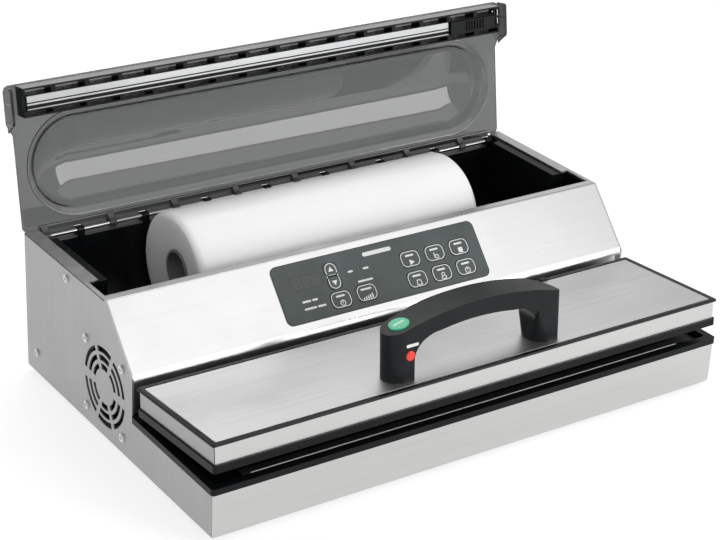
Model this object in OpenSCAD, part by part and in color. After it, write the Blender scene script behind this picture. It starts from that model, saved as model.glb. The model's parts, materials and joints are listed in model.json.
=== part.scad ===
// Kitchen vacuum sealer: sheet-steel body, hinged sealing lid, bag-film bin under a domed cover.
// Body coordinates: X across with 0 in the middle, Y from the front face to the back, and Z from the
// lower edge of the steel panels. placed() moves them to the part's own frame, which stands on its feet.

/* [Body] */
// Width of the steel body
body_w = 500; // [490:2:510]
// Depth of the steel body, front face to rear face
body_d = 316; // [316:1:320]
// Height of the body's flat top above the panels' lower edge
body_h = 124; // [123:0.5:125]
// Thickness of the steel sheets
sheet = 1.5; // [1.2:0.1:1.5]
// Height of the rubber feet
foot_h = 5; // [4:0.5:8]

/* [Sealing lid] */
// Depth of the lid, front to back
lid_d = 119.4; // [118:0.2:119.4]
// Height of the lid's top above the panels' lower edge when it is shut
lid_top = 71.2; // [71:0.1:71.4]
// Angle by which the lid stands open at rest
lid_ajar = 4.2; // [2:0.1:6]
// Height of the handle's crown above the lid
handle_h = 53.5; // [50:0.5:56]

/* [Storage cover] */
// Angle between the open cover and the shut one
cover_open = 99.1; // [96:0.1:99.1]
// Length of the cover from its hinge axis to its free edge
cover_len = 130.9; // [130:0.1:131]
// Thickness of the cover's plastic
cover_t = 3; // [2.6:0.1:3]
// Height of the cover's dome
dome_h = 21; // [20:0.5:24]

/* [Bag film] */
// Width of the film roll
roll_w = 280; // [200:5:300]
// Radius of the full roll
roll_r = 52; // [40:1:52]

/* [Hidden] */

half_w = body_w / 2;
e = 0.01;                   // overlap that joins two solids of one piece
gap = 0.1;                  // clearance between neighbouring fixed pieces
fit = 0.05;                 // radial clearance of a pin in its bore
arc_fn = 64;
small_fn = 32;

// Sloped control panel
slope_y0 = 126;
slope_y1 = 170;
slope_z0 = 75;
slope_a = atan2(body_h - slope_z0, slope_y1 - slope_y0);
ledge_d = 8;                // flat ledge behind the slope
flange_w = 10.5;            // top flange of a side panel
notch_w = 4;                // what is left of the flange where the cutter rail drops in
notch_y = 206.5;            // rear end of that notch
lip_w = 8;                  // front flange of a side panel, behind the lid
lip_drop = 2.5;             // from the foot of the slope down to that flange

// Base and tray
base_h = 37.4;              // top edge of the steel around the base
rim_z = 43;                 // top of the tray's rim
rim_over = 1.5;             // the rim's overhang past the steel
rim_w = 7;
deck_z = 38.5;              // the tray's deck inside the rim
channel_z = 24;             // floor of the vacuum channel
ring_r = 14;                // corner radius of the gasket rings
ring_w = 7;
ring_x = 218;               // half length of the gasket rings, outside
ring_y0 = 34;
ring_y1 = 92;

// Sealing lid, in its shut position
lid_pivot_y = 111.5;
lid_pivot_z = 60;
lid_pin_r = 2.5;
lid_rim_h = 2.4;
lid_band_h = 15.3;
lid_h = 24;
lid_frame_top = lid_top - lid_rim_h - lid_band_h;
lid_bottom = lid_top - lid_h;
lid_wall_h = 6;             // inner wall of the lid's frame, above its rim
hinge_x = [-205, 205];
hinge_room = 10.8;          // half width of the gap round a fixed bracket

// Handle, heights above the lid's top
handle_left_x = -70;
handle_right_x = 71.5;      // centre of the screw in the right leg
handle_end_x = 84.5;
handle_corner_r = 4;
handle_back_r = 22;
handle_left_r = 13;
handle_r = 15;
handle_left_y = 24.5;
handle_y = 26.5;
handle_arc_r = 289;
handle_arc_x = 5;            // the crown stands right of the middle
leg_round = 13;              // rounding of the right leg at its foot
grip_arc_r = 217;
grip_crown = 39.5;
grip_half = 61.5;
grip_corner = 26;
grip_side = 17;
button_x = -68;
button_y = handle_left_y;
button_r = 8.6;
red_x = -66.2;
red_z = 22;
red_r = 4.1;
handle_front = handle_left_y - handle_left_r;
button_a = asin((button_x - handle_arc_x) / handle_arc_r);
button_z = handle_h - handle_arc_r + sqrt(pow(handle_arc_r, 2) - pow(button_x - handle_arc_x, 2));

// Storage cover, in its shut position
hinge_y = 310;
hinge_z = 119.2;
rod_r = 2;
knuckle_r = 3.4;
cover_off = 9.8;
cover_z = hinge_z + cover_off;
cover_y0 = hinge_y - cover_len;
cover_y1 = hinge_y - 4.5;
ear_w = 5;
skirt_t = 2.4;              // of the ears' skirts
skirt_z = 114;
dome_y = 253.5;
dome_half_y = 41.3;
dome_half_x = 236;
dome_level = [0, 0.55, 0.85, 1];
dome_inset = [0, 5, 11, 20];
dome_t = 2.4;
rail_y0 = hinge_y - 129.5;
rail_y1 = hinge_y - 105;
rail_h = 14;
rail_x = 244.5;
rail_low = cover_z - cover_t - rail_h;
rail_pitch = 31;            // between the ribs of the rail's open bays
rail_rib = 4;
bay_y = [hinge_y - 128.1, hinge_y - 123.5, hinge_y - 109.7, hinge_y - 106.4];
track_y0 = hinge_y - 122.5;
track_y1 = hinge_y - 114.5;
lip_y1 = hinge_y - 110.7;   // far edge of the track's lower lip
slot_y = hinge_y - 116.6;   // middle of the blade's slot
slot_w = 2.2;
strip_y0 = hinge_y - 8.5;   // front edge of the hinge strip on the cover
cutter_x0 = 187;
cutter_x1 = 244;
knuckle_pitch = 31;
knuckle_w = 6;
knuckle_count = 16;
hinge_half_x = 236.5;       // half length of the hinge rod and of the strip on the cover

// Film bin and roll
bin_t = 2;
bin_x = 229;
bin_y = 253;
bin_z = 93;
bin_r = 55;
roll_y = bin_y;
roll_z = bin_z - bin_r + roll_r + 0.5;
core_r = 15.3;
core_t = 2.2;
pocket_z = 107;
rear_top = 115;             // top of the rear panel, under the cover's hinge

// Fan
fan_w = 70;
fan_t = 15;
fan_y = 173;
fan_z = 45.5;
fan_hole = 61.5;

// The part's own frame has its origin under the middle of the whole object
dome_far = hinge_y - dome_y + dome_half_y - dome_inset[3];
far_y = hinge_y - dome_far * cos(cover_open) + (cover_off + dome_h) * sin(cover_open);
front_y = -(far_y - rim_over) / 2;

steel = "#b9babb";
steel_dark = "#8d8f90";
black = "#1b1d1e";
charcoal = "#3c4041";

// Keys of the control panel: x across, distance up the slope
key_w = 19.6;
key_h = 14.4;
key_r = 5.5;
key_t = 1.6;
key_proud = 0.25;
column_x = [30.6, 56.3, 82];
row_u = [20.6, 39.2];
overlay_t = 0.8;
overlay_x0 = -103;
overlay_x1 = 104;
overlay_u0 = 8;
overlay_u1 = 60;
board_depth = 9;

module placed() {
    translate([0, front_y, foot_h]) children();
}

// Turns a piece drawn in the lid's shut position to where it stands at rest
module on_lid() {
    placed() translate([0, lid_pivot_y, lid_pivot_z]) rotate([-lid_ajar, 0, 0])
        translate([0, -lid_pivot_y, -lid_pivot_z]) children();
}

// Turns a piece drawn in the cover's shut position to where it stands open
module on_cover() {
    placed() translate([0, hinge_y, hinge_z]) rotate([-cover_open, 0, 0])
        translate([0, -hinge_y, -hinge_z]) children();
}

// Lays a piece on the slope: x across, y up the slope, z out of it
module on_slope() {
    placed() translate([0, slope_y0, slope_z0]) rotate([slope_a, 0, 0]) children();
}

// Box from its low corner to its high corner
module block(low, high) {
    translate(low) cube(high - low);
}

// Cylinder along X between two places
module bar_x(x0, x1, y, z, r, fn = 48) {
    translate([x0, y, z]) rotate([0, 90, 0]) cylinder(r = r, h = x1 - x0, $fn = fn);
}

// Cylinder along Y between two places
module bar_y(x, y0, y1, z, r, fn = 48) {
    translate([x, y0, z]) rotate([-90, 0, 0]) cylinder(r = r, h = y1 - y0, $fn = fn);
}

// Rectangle with rounded corners, low corner to high corner
module round_rect(x0, y0, x1, y1, r) {
    union() {
        translate([x0 + r, y0]) square([x1 - x0 - 2 * r, y1 - y0]);
        translate([x0, y0 + r]) square([x1 - x0, y1 - y0 - 2 * r]);
        for (x = [x0 + r, x1 - r])
            for (y = [y0 + r, y1 - r])
                translate([x, y]) circle(r = r, $fn = small_fn);
    }
}

// Profile in Y and Z, extruded along X
module along_x(x0, x1) {
    translate([x0, 0, 0]) rotate([90, 0, 90]) linear_extrude(x1 - x0) children();
}

// Profile in X and Z, extruded along Y
module along_y(y0, y1) {
    translate([0, y1, 0]) rotate([90, 0, 0]) linear_extrude(y1 - y0) children();
}

function arc_points(cx, cy, r, a0, a1, steps) =
    [for (i = [0:steps]) let (a = a0 + (a1 - a0) * i / steps) [cx + r * cos(a), cy + r * sin(a)]];

// ---- Casing -------------------------------------------------------------------------------------

// Outline of a side panel in Y and Z
side_profile = [[sheet + gap, 0], [sheet + gap, base_h], [slope_y0, base_h], [slope_y0, slope_z0],
    [slope_y1, body_h], [body_d, body_h], [body_d, 0]];

module side_sheet() {
    along_x(half_w - sheet, half_w) polygon(side_profile);
    // top flange, narrower where the cutter rail drops in
    block([half_w - flange_w, notch_y, body_h - sheet], [half_w - sheet + e, body_d, body_h]);
    block([half_w - notch_w, slope_y1 + ledge_d + gap, body_h - sheet],
        [half_w - sheet + e, notch_y + e, body_h]);
    // front flange behind the lid's corner
    block([half_w - lip_w, slope_y0, rim_z + 1],
        [half_w - sheet + e, slope_y0 + sheet, slope_z0 - lip_drop]);
}

// Ring sectors of the fan's vent, cut through the panel
module vent_slot(r, w, a0, a1) {
    difference() {
        intersection() {
            circle(r = r + w / 2, $fn = arc_fn);
            polygon(concat([[0, 0]], arc_points(0, 0, r * 1.6, a0, a1, 6)));
        }
        circle(r = r - w / 2, $fn = arc_fn);
    }
}

module vent_slots() {
    for (ring = [0:2]) {
        r = 32.5 - ring * 7.4;
        w = 4.2;
        spread = 2.2 * 180 / PI / r;
        vent_slot(r, 5, 66 + spread, 114 - spread);
        vent_slot(r, 5, 246 + spread, 294 - spread);
        vent_slot(r, w, 4 + spread, 66 - spread);
        vent_slot(r, w, 114 + spread, 176 - spread);
        vent_slot(r, w, 184 + spread, 246 - spread);
        vent_slot(r, w, 294 + spread, 356 - spread);
    }
}

module screw_holes_x(x0, x1, r) {
    for (dy = [-1, 1])
        for (dz = [-1, 1])
            bar_x(x0, x1, fan_y + dy * fan_hole / 2, fan_z + dz * fan_hole / 2, r, small_fn);
}

module left_side_panel() {
    color(steel) placed() difference() {
        mirror([1, 0, 0]) side_sheet();
        along_x(-half_w - 1, -half_w + sheet + 1)
            translate([fan_y, fan_z]) vent_slots();
        screw_holes_x(-half_w - 1, -half_w + sheet + 1, 2.1);
        for (p = casing_screw_yz)
            bar_x(-half_w - 1, -half_w + sheet + 1, p[0], p[1], 1.6, small_fn);
    }
}

module right_side_panel() {
    color(steel) placed() difference() {
        side_sheet();
        for (p = casing_screw_yz)
            bar_x(half_w - sheet - 1, half_w + 1, p[0], p[1], 1.6, small_fn);
    }
}

casing_screw_yz = [[237.1, 115.1], [296, 20]];

module front_panel() {
    color(steel) placed() along_y(0, sheet) difference() {
        translate([-half_w, 0]) square([body_w, base_h]);
        // rounded lower right corner
        difference() {
            translate([half_w - 4, -1]) square([5, 5]);
            translate([half_w - 4, 4]) circle(r = 4, $fn = small_fn);
        }
    }
}

module rear_panel() {
    inner = half_w - sheet - gap;
    color(steel) placed() difference() {
        union() {
            block([-inner, body_d - sheet, 0], [inner, body_d, rear_top]);
            block([-inner, bin_y + bin_r + 0.3, rear_top - sheet], [inner, body_d - sheet + e, rear_top]);
        }
        // power inlet and air outlet
        block([inlet_x - 14.2, body_d - 3, inlet_z - 10.2], [inlet_x + 14.2, body_d + 1, inlet_z + 10.2]);
        for (i = [0:7])
            translate([-170 + i * 9, body_d - 3, 22]) cube([4.5, 4, 34]);
        for (x = rear_screw_x)
            bar_y(x, body_d - 3, body_d + 1, 9, 1.6, small_fn);
        // notches in the flange for the bin's hinge bosses
        for (i = [1:2:knuckle_count - 1])
            translate([knuckle_at(i), 0, 0]) block([-knuckle_w / 2 - gap, bin_y + bin_r, rear_top - 3],
                [knuckle_w / 2 + gap, hinge_y + knuckle_r + gap, rear_top + 1]);
    }
}

inlet_x = 175;
inlet_z = 34;

// Folded sheet: return behind the lid, slope, and ledge in front of the bin
slope_profile = [[slope_y0, rim_z + 1], [slope_y0, slope_z0], [slope_y1, body_h],
    [slope_y1 + ledge_d, body_h], [slope_y1 + ledge_d, body_h - sheet],
    [slope_y1 + sheet * tan(slope_a / 2), body_h - sheet],
    [slope_y0 + sheet, slope_z0 - sheet * tan(45 - slope_a / 2)], [slope_y0 + sheet, rim_z + 1]];

module slope_panel() {
    inner = half_w - sheet - gap;
    color("#e9eaea") difference() {
        placed() along_x(-inner, inner) polygon(slope_profile);
        // the return stands between the side panels' lips
        placed() for (s = [-1, 1])
            block([s * half_w - lip_w - gap, slope_y0 - 1, rim_z],
                [s * half_w + lip_w + gap, slope_y0 + sheet + 0.5, slope_z0 - lip_drop + gap]);
        // window behind the keys and the display
        on_slope() block([overlay_x0 + 6, overlay_u0 + 3.5, -3], [overlay_x1 - 8, overlay_u1 - 6, 1]);
    }
}

module bottom_plate() {
    inner = half_w - sheet - gap;
    color(steel_dark) placed() difference() {
        union() {
            block([-inner, sheet + gap, 0], [inner, body_d - sheet - gap, sheet]);
            block([-inner, sheet + gap, 0], [inner, sheet * 2 + gap, 14]);
        }
        foot_places() translate([0, 0, -1]) cylinder(r = 2.15, h = 5, $fn = small_fn);
    }
}

module foot_places() {
    for (x = [-half_w + 32, half_w - 32])
        for (y = [34, body_d - 34])
            translate([x, y, 0]) children();
}

module rubber_feet() {
    color(black) placed() foot_places() {
        difference() {
            translate([0, 0, -foot_h]) cylinder(r1 = 9, r2 = 10.5, h = foot_h, $fn = 48);
            translate([0, 0, -foot_h - 1]) cylinder(r = 4, h = 3, $fn = small_fn);
        }
        translate([0, 0, -0.1]) cylinder(r = 2.1, h = 5, $fn = small_fn);
    }
}

module fan_screws() {
    color("#d9dadb") placed()
        for (dy = [-1, 1])
            for (dz = [-1, 1])
                translate([-half_w, fan_y + dy * fan_hole / 2, fan_z + dz * fan_hole / 2])
                    pan_screw(3.6, 2.05, sheet + 6);
}

module casing_screws() {
    color("#d9dadb") placed() {
        for (p = casing_screw_yz) {
            translate([-half_w, p[0], p[1]]) pan_screw(3.2, 1.55, 6);
            translate([half_w, p[0], p[1]]) mirror([1, 0, 0]) pan_screw(3.2, 1.55, 6);
        }
        for (x = rear_screw_x)
            translate([x, body_d, 9]) rotate([0, 0, -90]) pan_screw(3.2, 1.55, 5);
    }
}

rear_screw_x = [-half_w + 12.5, 0, half_w - 12.5];

// Pan-head screw with its head at the origin facing -X and a crossed recess
module pan_screw(head_r, thread_r, length) {
    difference() {
        union() {
            bar_x(-1.5, 0, 0, 0, head_r, small_fn);
            bar_x(-2, -1.5 + e, 0, 0, head_r * 0.75, small_fn);
            bar_x(-e, length, 0, 0, thread_r, small_fn);
        }
        block([-3, -head_r * 0.55, -0.35], [-1, head_r * 0.55, 0.35]);
        block([-3, -0.35, -head_r * 0.55], [-1, 0.35, head_r * 0.55]);
    }
}

// ---- Control panel ------------------------------------------------------------------------------

// Keys as x, distance up the slope, width and height
key_start_at = [column_x[0], row_u[1], key_w, key_h];
key_pulse_at = [column_x[1], row_u[1], key_w, key_h];
key_stop_at = [column_x[2], row_u[1], key_w, key_h];
key_seal_at = [column_x[0], row_u[0], key_w, key_h];
key_marinate_at = [column_x[1], row_u[0], key_w, key_h];
key_power_at = [column_x[2], row_u[0], key_w, key_h];
key_set_at = [-47.4, row_u[0] - 0.7, key_w, key_h];
key_vacuum_level_at = [-21.6, row_u[0] - 0.3, key_w, key_h];
key_up_at = [-47.7, 47, 13.6, 11.4];
key_down_at = [-47.7, 35, 13.6, 11.4];
all_keys = [key_start_at, key_pulse_at, key_stop_at, key_seal_at, key_marinate_at, key_power_at,
    key_set_at, key_vacuum_level_at, key_up_at, key_down_at];
display_at = [-73.6, 41.4, 31, 12];

module plan_at(k, grow, r) {
    round_rect(k[0] - k[2] / 2 - grow, k[1] - k[3] / 2 - grow, k[0] + k[2] / 2 + grow,
        k[1] + k[3] / 2 + grow, r);
}

module panel_overlay() {
    color("#505656") on_slope() linear_extrude(overlay_t) difference() {
        round_rect(overlay_x0, overlay_u0, overlay_x1, overlay_u1, 6);
        for (k = all_keys) plan_at(k, 0.3, min(key_r, k[3] / 2) * 0.9);
        plan_at(display_at, 0, 1);
    }
}

module display_window() {
    color("#3a2f2f") on_slope() translate([0, 0, 0.02]) linear_extrude(overlay_t - 0.04)
        plan_at(display_at, -0.03, 0.9);
}

module display_module() {
    color("#1c1414") on_slope() block([display_at[0] - 15, display_at[1] - 6, -board_depth + 0.1],
        [display_at[0] + 15, display_at[1] + 6, -0.2]);
}

// Printed cap with a stem that reaches the switch behind it
module key_cap(k) {
    color("#565c5c") on_slope() {
        translate([0, 0, overlay_t + key_proud - key_t]) linear_extrude(key_t)
            plan_at(k, -0.2, min(key_r, k[3] / 2) * 0.9 - 0.3);
        translate([k[0], k[1], -board_depth + 3.2])
            cylinder(r = 1.8, h = board_depth - 3.2 + overlay_t + key_proud - key_t + e, $fn = small_fn);
    }
}

module key_start() { key_cap(key_start_at); }
module key_pulse() { key_cap(key_pulse_at); }
module key_stop() { key_cap(key_stop_at); }
module key_seal() { key_cap(key_seal_at); }
module key_marinate() { key_cap(key_marinate_at); }
module key_power() { key_cap(key_power_at); }
module key_set() { key_cap(key_set_at); }
module key_vacuum_level() { key_cap(key_vacuum_level_at); }
module key_up() { key_cap(key_up_at); }
module key_down() { key_cap(key_down_at); }

module control_board() {
    color("#1f5a35") on_slope() block([overlay_x0 + 8, 6, -board_depth - 1.6],
        [overlay_x1 - 10, 56, -board_depth]);
}

module key_switches() {
    color("#2a2a2c") on_slope()
        for (k = all_keys)
            translate([k[0], k[1], -board_depth + 0.05]) {
                translate([-3, -3, 0]) cube([6, 6, 2]);
                cylinder(r = 1.5, h = 2.5, $fn = small_fn);
            }
}

// ---- Tray under the lid -------------------------------------------------------------------------

module ring_plan(grow) {
    difference() {
        round_rect(-ring_x - grow, ring_y0 - grow, ring_x + grow, ring_y1 + grow, ring_r);
        round_rect(-ring_x + ring_w + grow, ring_y0 + ring_w + grow, ring_x - ring_w - grow,
            ring_y1 - ring_w - grow, ring_r - ring_w + 1);
    }
}

module deck_tray() {
    inner = half_w - sheet - gap;
    color(black) placed() difference() {
        union() {
            translate([0, 0, base_h + gap]) linear_extrude(rim_z - base_h - gap)
                round_rect(-half_w - rim_over, -rim_over, half_w + rim_over, slope_y0 - gap, 3);
            block([-inner, sheet * 2 + 3 * gap, deck_z - 2.5], [inner, slope_y0 - gap, base_h + gap + e]);
            block([-188, 44, channel_z - 2], [188, 82, deck_z - 2]);
        }
        // sunken deck inside the rim, gasket groove, vacuum channel and its outlet
        translate([0, 0, deck_z]) linear_extrude(20) round_rect(-half_w - rim_over + rim_w,
            -rim_over + rim_w, half_w + rim_over - rim_w, slope_y0 - 6, 3);
        translate([0, 0, deck_z - 1.3]) linear_extrude(20) ring_plan(0.2);
        translate([0, 0, channel_z]) linear_extrude(30) round_rect(-186, 46, 186, 80, 8);
        translate([hose_x, hose_y, channel_z - 4]) cylinder(r = hose_r + gap, h = 8, $fn = small_fn);
        // seat of the seal bar
        block([-seal_x - 0.2, seal_y0 - 0.2, deck_z - 1], [seal_x + 0.2, seal_y1 + 0.2, deck_z + 1]);
    }
}

hose_x = -120;
hose_y = 63;
hose_z = 8;
hose_r = 2.9;
valve_y = 130.1;
seal_x = 216;
seal_y0 = 8.4;
seal_y1 = 15;
seal_top = 42.4;
tape_end = 4;               // the tape's length past the seal bar
tape_side = 0.45;           // the tape's overhang on both sides of it

module seal_bar() {
    color("#c9a77c") placed() difference() {
        block([-seal_x, seal_y0, deck_z - 0.9], [seal_x, seal_y1, seal_top]);
        // groove of the heating wire
        block([-seal_x - 1, 10.6, seal_top - 0.4], [seal_x + 1, 12.8, seal_top + 1]);
    }
}

module ptfe_tape() {
    color("#d8cfc0") placed() {
        block([-seal_x - tape_end, seal_y0 - tape_side, seal_top + 0.02],
            [seal_x + tape_end, seal_y1 + tape_side, seal_top + 0.25]);
        block([-seal_x - tape_end, seal_y0 - tape_side, deck_z + 0.05],
            [seal_x + tape_end, seal_y0 - 0.2, seal_top + 0.03]);
    }
}

module lower_gasket() {
    color("#2b2d2e") placed() translate([0, 0, deck_z - 1.25]) linear_extrude(45.4 - deck_z + 1.25)
        ring_plan(0);
}

module lid_hinge_brackets() {
    color(steel_dark) placed() difference() {
        for (x = hinge_x)
            for (s = [-1, 1])
                translate([x + s * 8, 0, 0]) {
                    along_x(-1, 1) union() {
                        polygon([[107, deck_z + 0.05], [115, deck_z + 0.05], [114, 60], [109, 60]]);
                        translate([lid_pivot_y, lid_pivot_z]) circle(r = 4.2, $fn = 48);
                    }
                    // foot on the deck, turned inwards
                    block([-1 - (s > 0 ? 4 : 0), 104, deck_z + 0.05],
                        [1 + (s < 0 ? 4 : 0), 118, deck_z + 1.5]);
                }
        for (x = hinge_x)
            bar_x(x - 12, x + 12, lid_pivot_y, lid_pivot_z, lid_pin_r + fit / 2);
    }
}

module lid_hinge_pins() {
    color("#c8cacb") placed()
        for (x = hinge_x)
            bar_x(x - 18, x + 18, lid_pivot_y, lid_pivot_z, lid_pin_r);
}

// Torsion spring wound round each pin: turns of wire side by side
module lid_hinge_springs() {
    color("#9fa3a6") placed()
        for (x = hinge_x)
            for (i = [0:4])
                translate([x - 4.4 + i * 2.2, lid_pivot_y, lid_pivot_z]) rotate([0, 90, 0])
                    rotate_extrude($fn = 48) translate([3.5, 0]) circle(r = 0.8, $fn = 20);
}

module lid_switch() {
    color("#26282a") placed() {
        block([224, 96, deck_z + 0.05], [236, 110, 44]);
        translate([230, 103, 44 - e]) cylinder(r = 1.6, h = 2.2, $fn = small_fn);
    }
}

// ---- Bin and what lies behind the front ---------------------------------------------------------

// Bin profile in Y and Z: upright front, slanted to a half-round trough; grow adds wall thickness
module bin_profile(grow, top) {
    polygon(concat(
        [[bin_y + bin_r + grow, top], [180 - grow, top], [180 - grow, pocket_z - grow / 2]],
        arc_points(bin_y, bin_z, bin_r + grow, 190, 360, 36)));
}

module film_bin() {
    wall_top = rear_top - sheet - 0.2;
    color(black) placed() {
        difference() {
            union() {
                along_x(-bin_x - bin_t, bin_x + bin_t) intersection() {
                    bin_profile(bin_t, 121);
                    square([bin_y + bin_r + bin_t, 130]);
                }
                // side pockets of the cutter rail, and the ledge under the steel flanges
                block([-rail_x - 2.4, 178, pocket_z - bin_t], [rail_x + 2.4, notch_y + 1, 121]);
                block([-half_w + sheet + gap, notch_y - 1, 118],
                    [half_w - sheet - gap, hinge_y - knuckle_r - 0.8, body_h - sheet - gap]);
                block([-half_w + sheet + gap, slope_y1 + ledge_d + gap * 2, 118],
                    [half_w - sheet - gap, notch_y, body_h - sheet - gap]);
            }
            along_x(-bin_x, bin_x) bin_profile(0, 140);
            block([-rail_x - 0.6, 180, pocket_z], [rail_x + 0.6, notch_y, 140]);
            // the walls stop under the hinge
            block([-hinge_half_x - 0.5, hinge_y - 12, wall_top], [hinge_half_x + 0.5, body_d, 140]);
        }
        // bosses of the hinge rod, between the cover's knuckles
        for (i = [1:2:knuckle_count - 1])
            translate([knuckle_at(i) - knuckle_w / 2, 0, 0]) along_x(0, knuckle_w) difference() {
                union() {
                    translate([hinge_y, hinge_z]) circle(r = knuckle_r, $fn = 48);
                    translate([hinge_y - knuckle_r, wall_top + 0.5])
                        square([knuckle_r * 2, hinge_z - wall_top - 0.5]);
                    translate([bin_y + bin_r, wall_top - 6]) square([bin_t, 8]);
                }
                translate([hinge_y, hinge_z]) circle(r = rod_r + fit, $fn = 48);
            }
    }
}

module cover_hinge_rod() {
    color("#c8cacb") placed() bar_x(-hinge_half_x, hinge_half_x, hinge_y, hinge_z, rod_r);
}

function knuckle_at(i) = (i - (knuckle_count - 1) / 2) * knuckle_pitch;

module vacuum_pump() {
    color("#3b3e42") placed() {
        bar_x(-70, 6, 151, 31, 21);
        block([-66, 134, sheet + 0.1], [2, 168, 14]);
        for (x = [-52, -14])
            translate([x, 151, 48]) cylinder(r = 12, h = 13, $fn = 48);
    }
}

module pump_motor() {
    color("#a9acae") placed() {
        bar_x(6.2, 70, 151, 31, 19.5);
        bar_x(70 - e, 75, 151, 31, 6);
    }
}

// Hose from the channel's outlet to the valve, with an elbow fitting where it turns
module vacuum_hose() {
    color("#d9dcdc") placed() {
        translate([hose_x, hose_y, hose_z])
            cylinder(r = hose_r, h = channel_z - 2.2 - hose_z, $fn = small_fn);
        translate([hose_x, hose_y, hose_z]) sphere(r = hose_r + 0.7, $fn = 48);
        bar_y(hose_x, hose_y, valve_y - gap, hose_z, hose_r, small_fn);
    }
}

module solenoid_valve() {
    color("#4a4d50") placed() {
        block([hose_x - 12, valve_y, sheet + gap], [hose_x + 12, 156, 22]);
        translate([hose_x, 143, 22 - e]) cylinder(r = 8, h = 18, $fn = 48);
    }
}

module transformer() {
    color("#6b6256") placed() {
        block([104, 132, sheet + 0.1], [164, 172, 50]);
        block([112, 129, 10], [156, 175, 42]);
    }
}

module fan_frame() {
    color("#232527") placed() difference() {
        along_x(-half_w + sheet + gap, -half_w + sheet + gap + fan_t) translate([fan_y, fan_z])
            round_rect(-fan_w / 2, -fan_w / 2, fan_w / 2, fan_w / 2, 4);
        bar_x(-half_w, -half_w + 13, fan_y, fan_z, 33, arc_fn);
        // air openings between the three arms at the back
        difference() {
            bar_x(-half_w + 12, -half_w + 20, fan_y, fan_z, 33, arc_fn);
            bar_x(-half_w + 12, -half_w + 20, fan_y, fan_z, 14, arc_fn);
            for (a = [90, 210, 330])
                translate([0, fan_y, fan_z]) rotate([a, 0, 0])
                    block([-half_w + 12, -2, 0], [-half_w + 20, 2, 34]);
        }
        screw_holes_x(-half_w, -half_w + 20, 2.06);
        bar_x(-half_w + 12, -half_w + 20, fan_y, fan_z, 1.5 + fit, small_fn);
    }
}

// Hub with seven pitched blades; its shaft turns in the frame's boss
module fan_rotor() {
    hub_x = -half_w + 4;
    color("#1d1f20") placed() {
        bar_x(hub_x, hub_x + 8, fan_y, fan_z, 13, arc_fn);
        bar_x(hub_x + 8 - e, hub_x + 12.3, fan_y, fan_z, 1.5, small_fn);
        for (i = [0:6])
            translate([hub_x + 4, fan_y, fan_z]) rotate([i * 360 / 7, 0, 0])
                rotate([0, 0, 35]) translate([-0.6, -5.2, 12]) cube([1.2, 10.4, 19]);
    }
}

module power_inlet() {
    color("#222426") placed() difference() {
        union() {
            block([inlet_x - 24, body_d, inlet_z - 12.5], [inlet_x + 24, body_d + 2.4, inlet_z + 12.5]);
            block([inlet_x - 14, body_d - 20, inlet_z - 10], [inlet_x + 14, body_d + e, inlet_z + 10]);
        }
        block([inlet_x - 12, body_d - 15, inlet_z - 8], [inlet_x + 12, body_d + 3, inlet_z + 8]);
    }
}

// ---- Film roll ----------------------------------------------------------------------------------

module tube_x(half, y, z, outer, inner) {
    difference() {
        bar_x(-half, half, y, z, outer, 96);
        bar_x(-half - 1, half + 1, y, z, inner, 72);
    }
}

module film_core() {
    color("#c9b48c") placed() tube_x(roll_w / 2 + 0.4, roll_y, roll_z, core_r + core_t, core_r);
}

module film_wrap() {
    color("#f2f3f3") placed() tube_x(roll_w / 2, roll_y, roll_z, roll_r, core_r + core_t);
}

// ---- Sealing lid --------------------------------------------------------------------------------

module lid_ring(outset, wall, r) {
    difference() {
        round_rect(-half_w + outset, outset, half_w - outset, lid_d - outset, r);
        round_rect(-half_w + outset + wall, outset + wall, half_w - outset - wall,
            lid_d - outset - wall, max(r - wall, 0.6));
    }
}

module lid_top_rim() {
    color(charcoal) on_lid() {
        translate([0, 0, lid_top - lid_rim_h]) linear_extrude(lid_rim_h) lid_ring(0, 5, 2);
        // shelf under the skin
        translate([0, 0, lid_top - lid_rim_h]) linear_extrude(lid_rim_h - 1.6) lid_ring(5 - e, 4, 1);
    }
}

module lid_skin() {
    color(steel) on_lid() difference() {
        translate([0, 0, lid_top - 1.5]) linear_extrude(1.2)
            round_rect(-half_w + 5.1, 5.1, half_w - 5.1, lid_d - 5.1, 0.8);
        for (p = handle_screw_at)
            translate([p[0], p[1], lid_top - 3]) cylinder(r = 2.05, h = 4, $fn = small_fn);
    }
}

module lid_band() {
    color(steel) on_lid() difference() {
        translate([0, 0, lid_frame_top]) linear_extrude(lid_band_h) lid_ring(2, 1.2, 1.5);
        // notches in the rear wall, which the fixed brackets pass through as the lid opens
        for (x = hinge_x)
            block([x - hinge_room, lid_d - 6, lid_frame_top - 1],
                [x + hinge_room, lid_d + 1, lid_pivot_z + 3.2]);
    }
}

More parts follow.
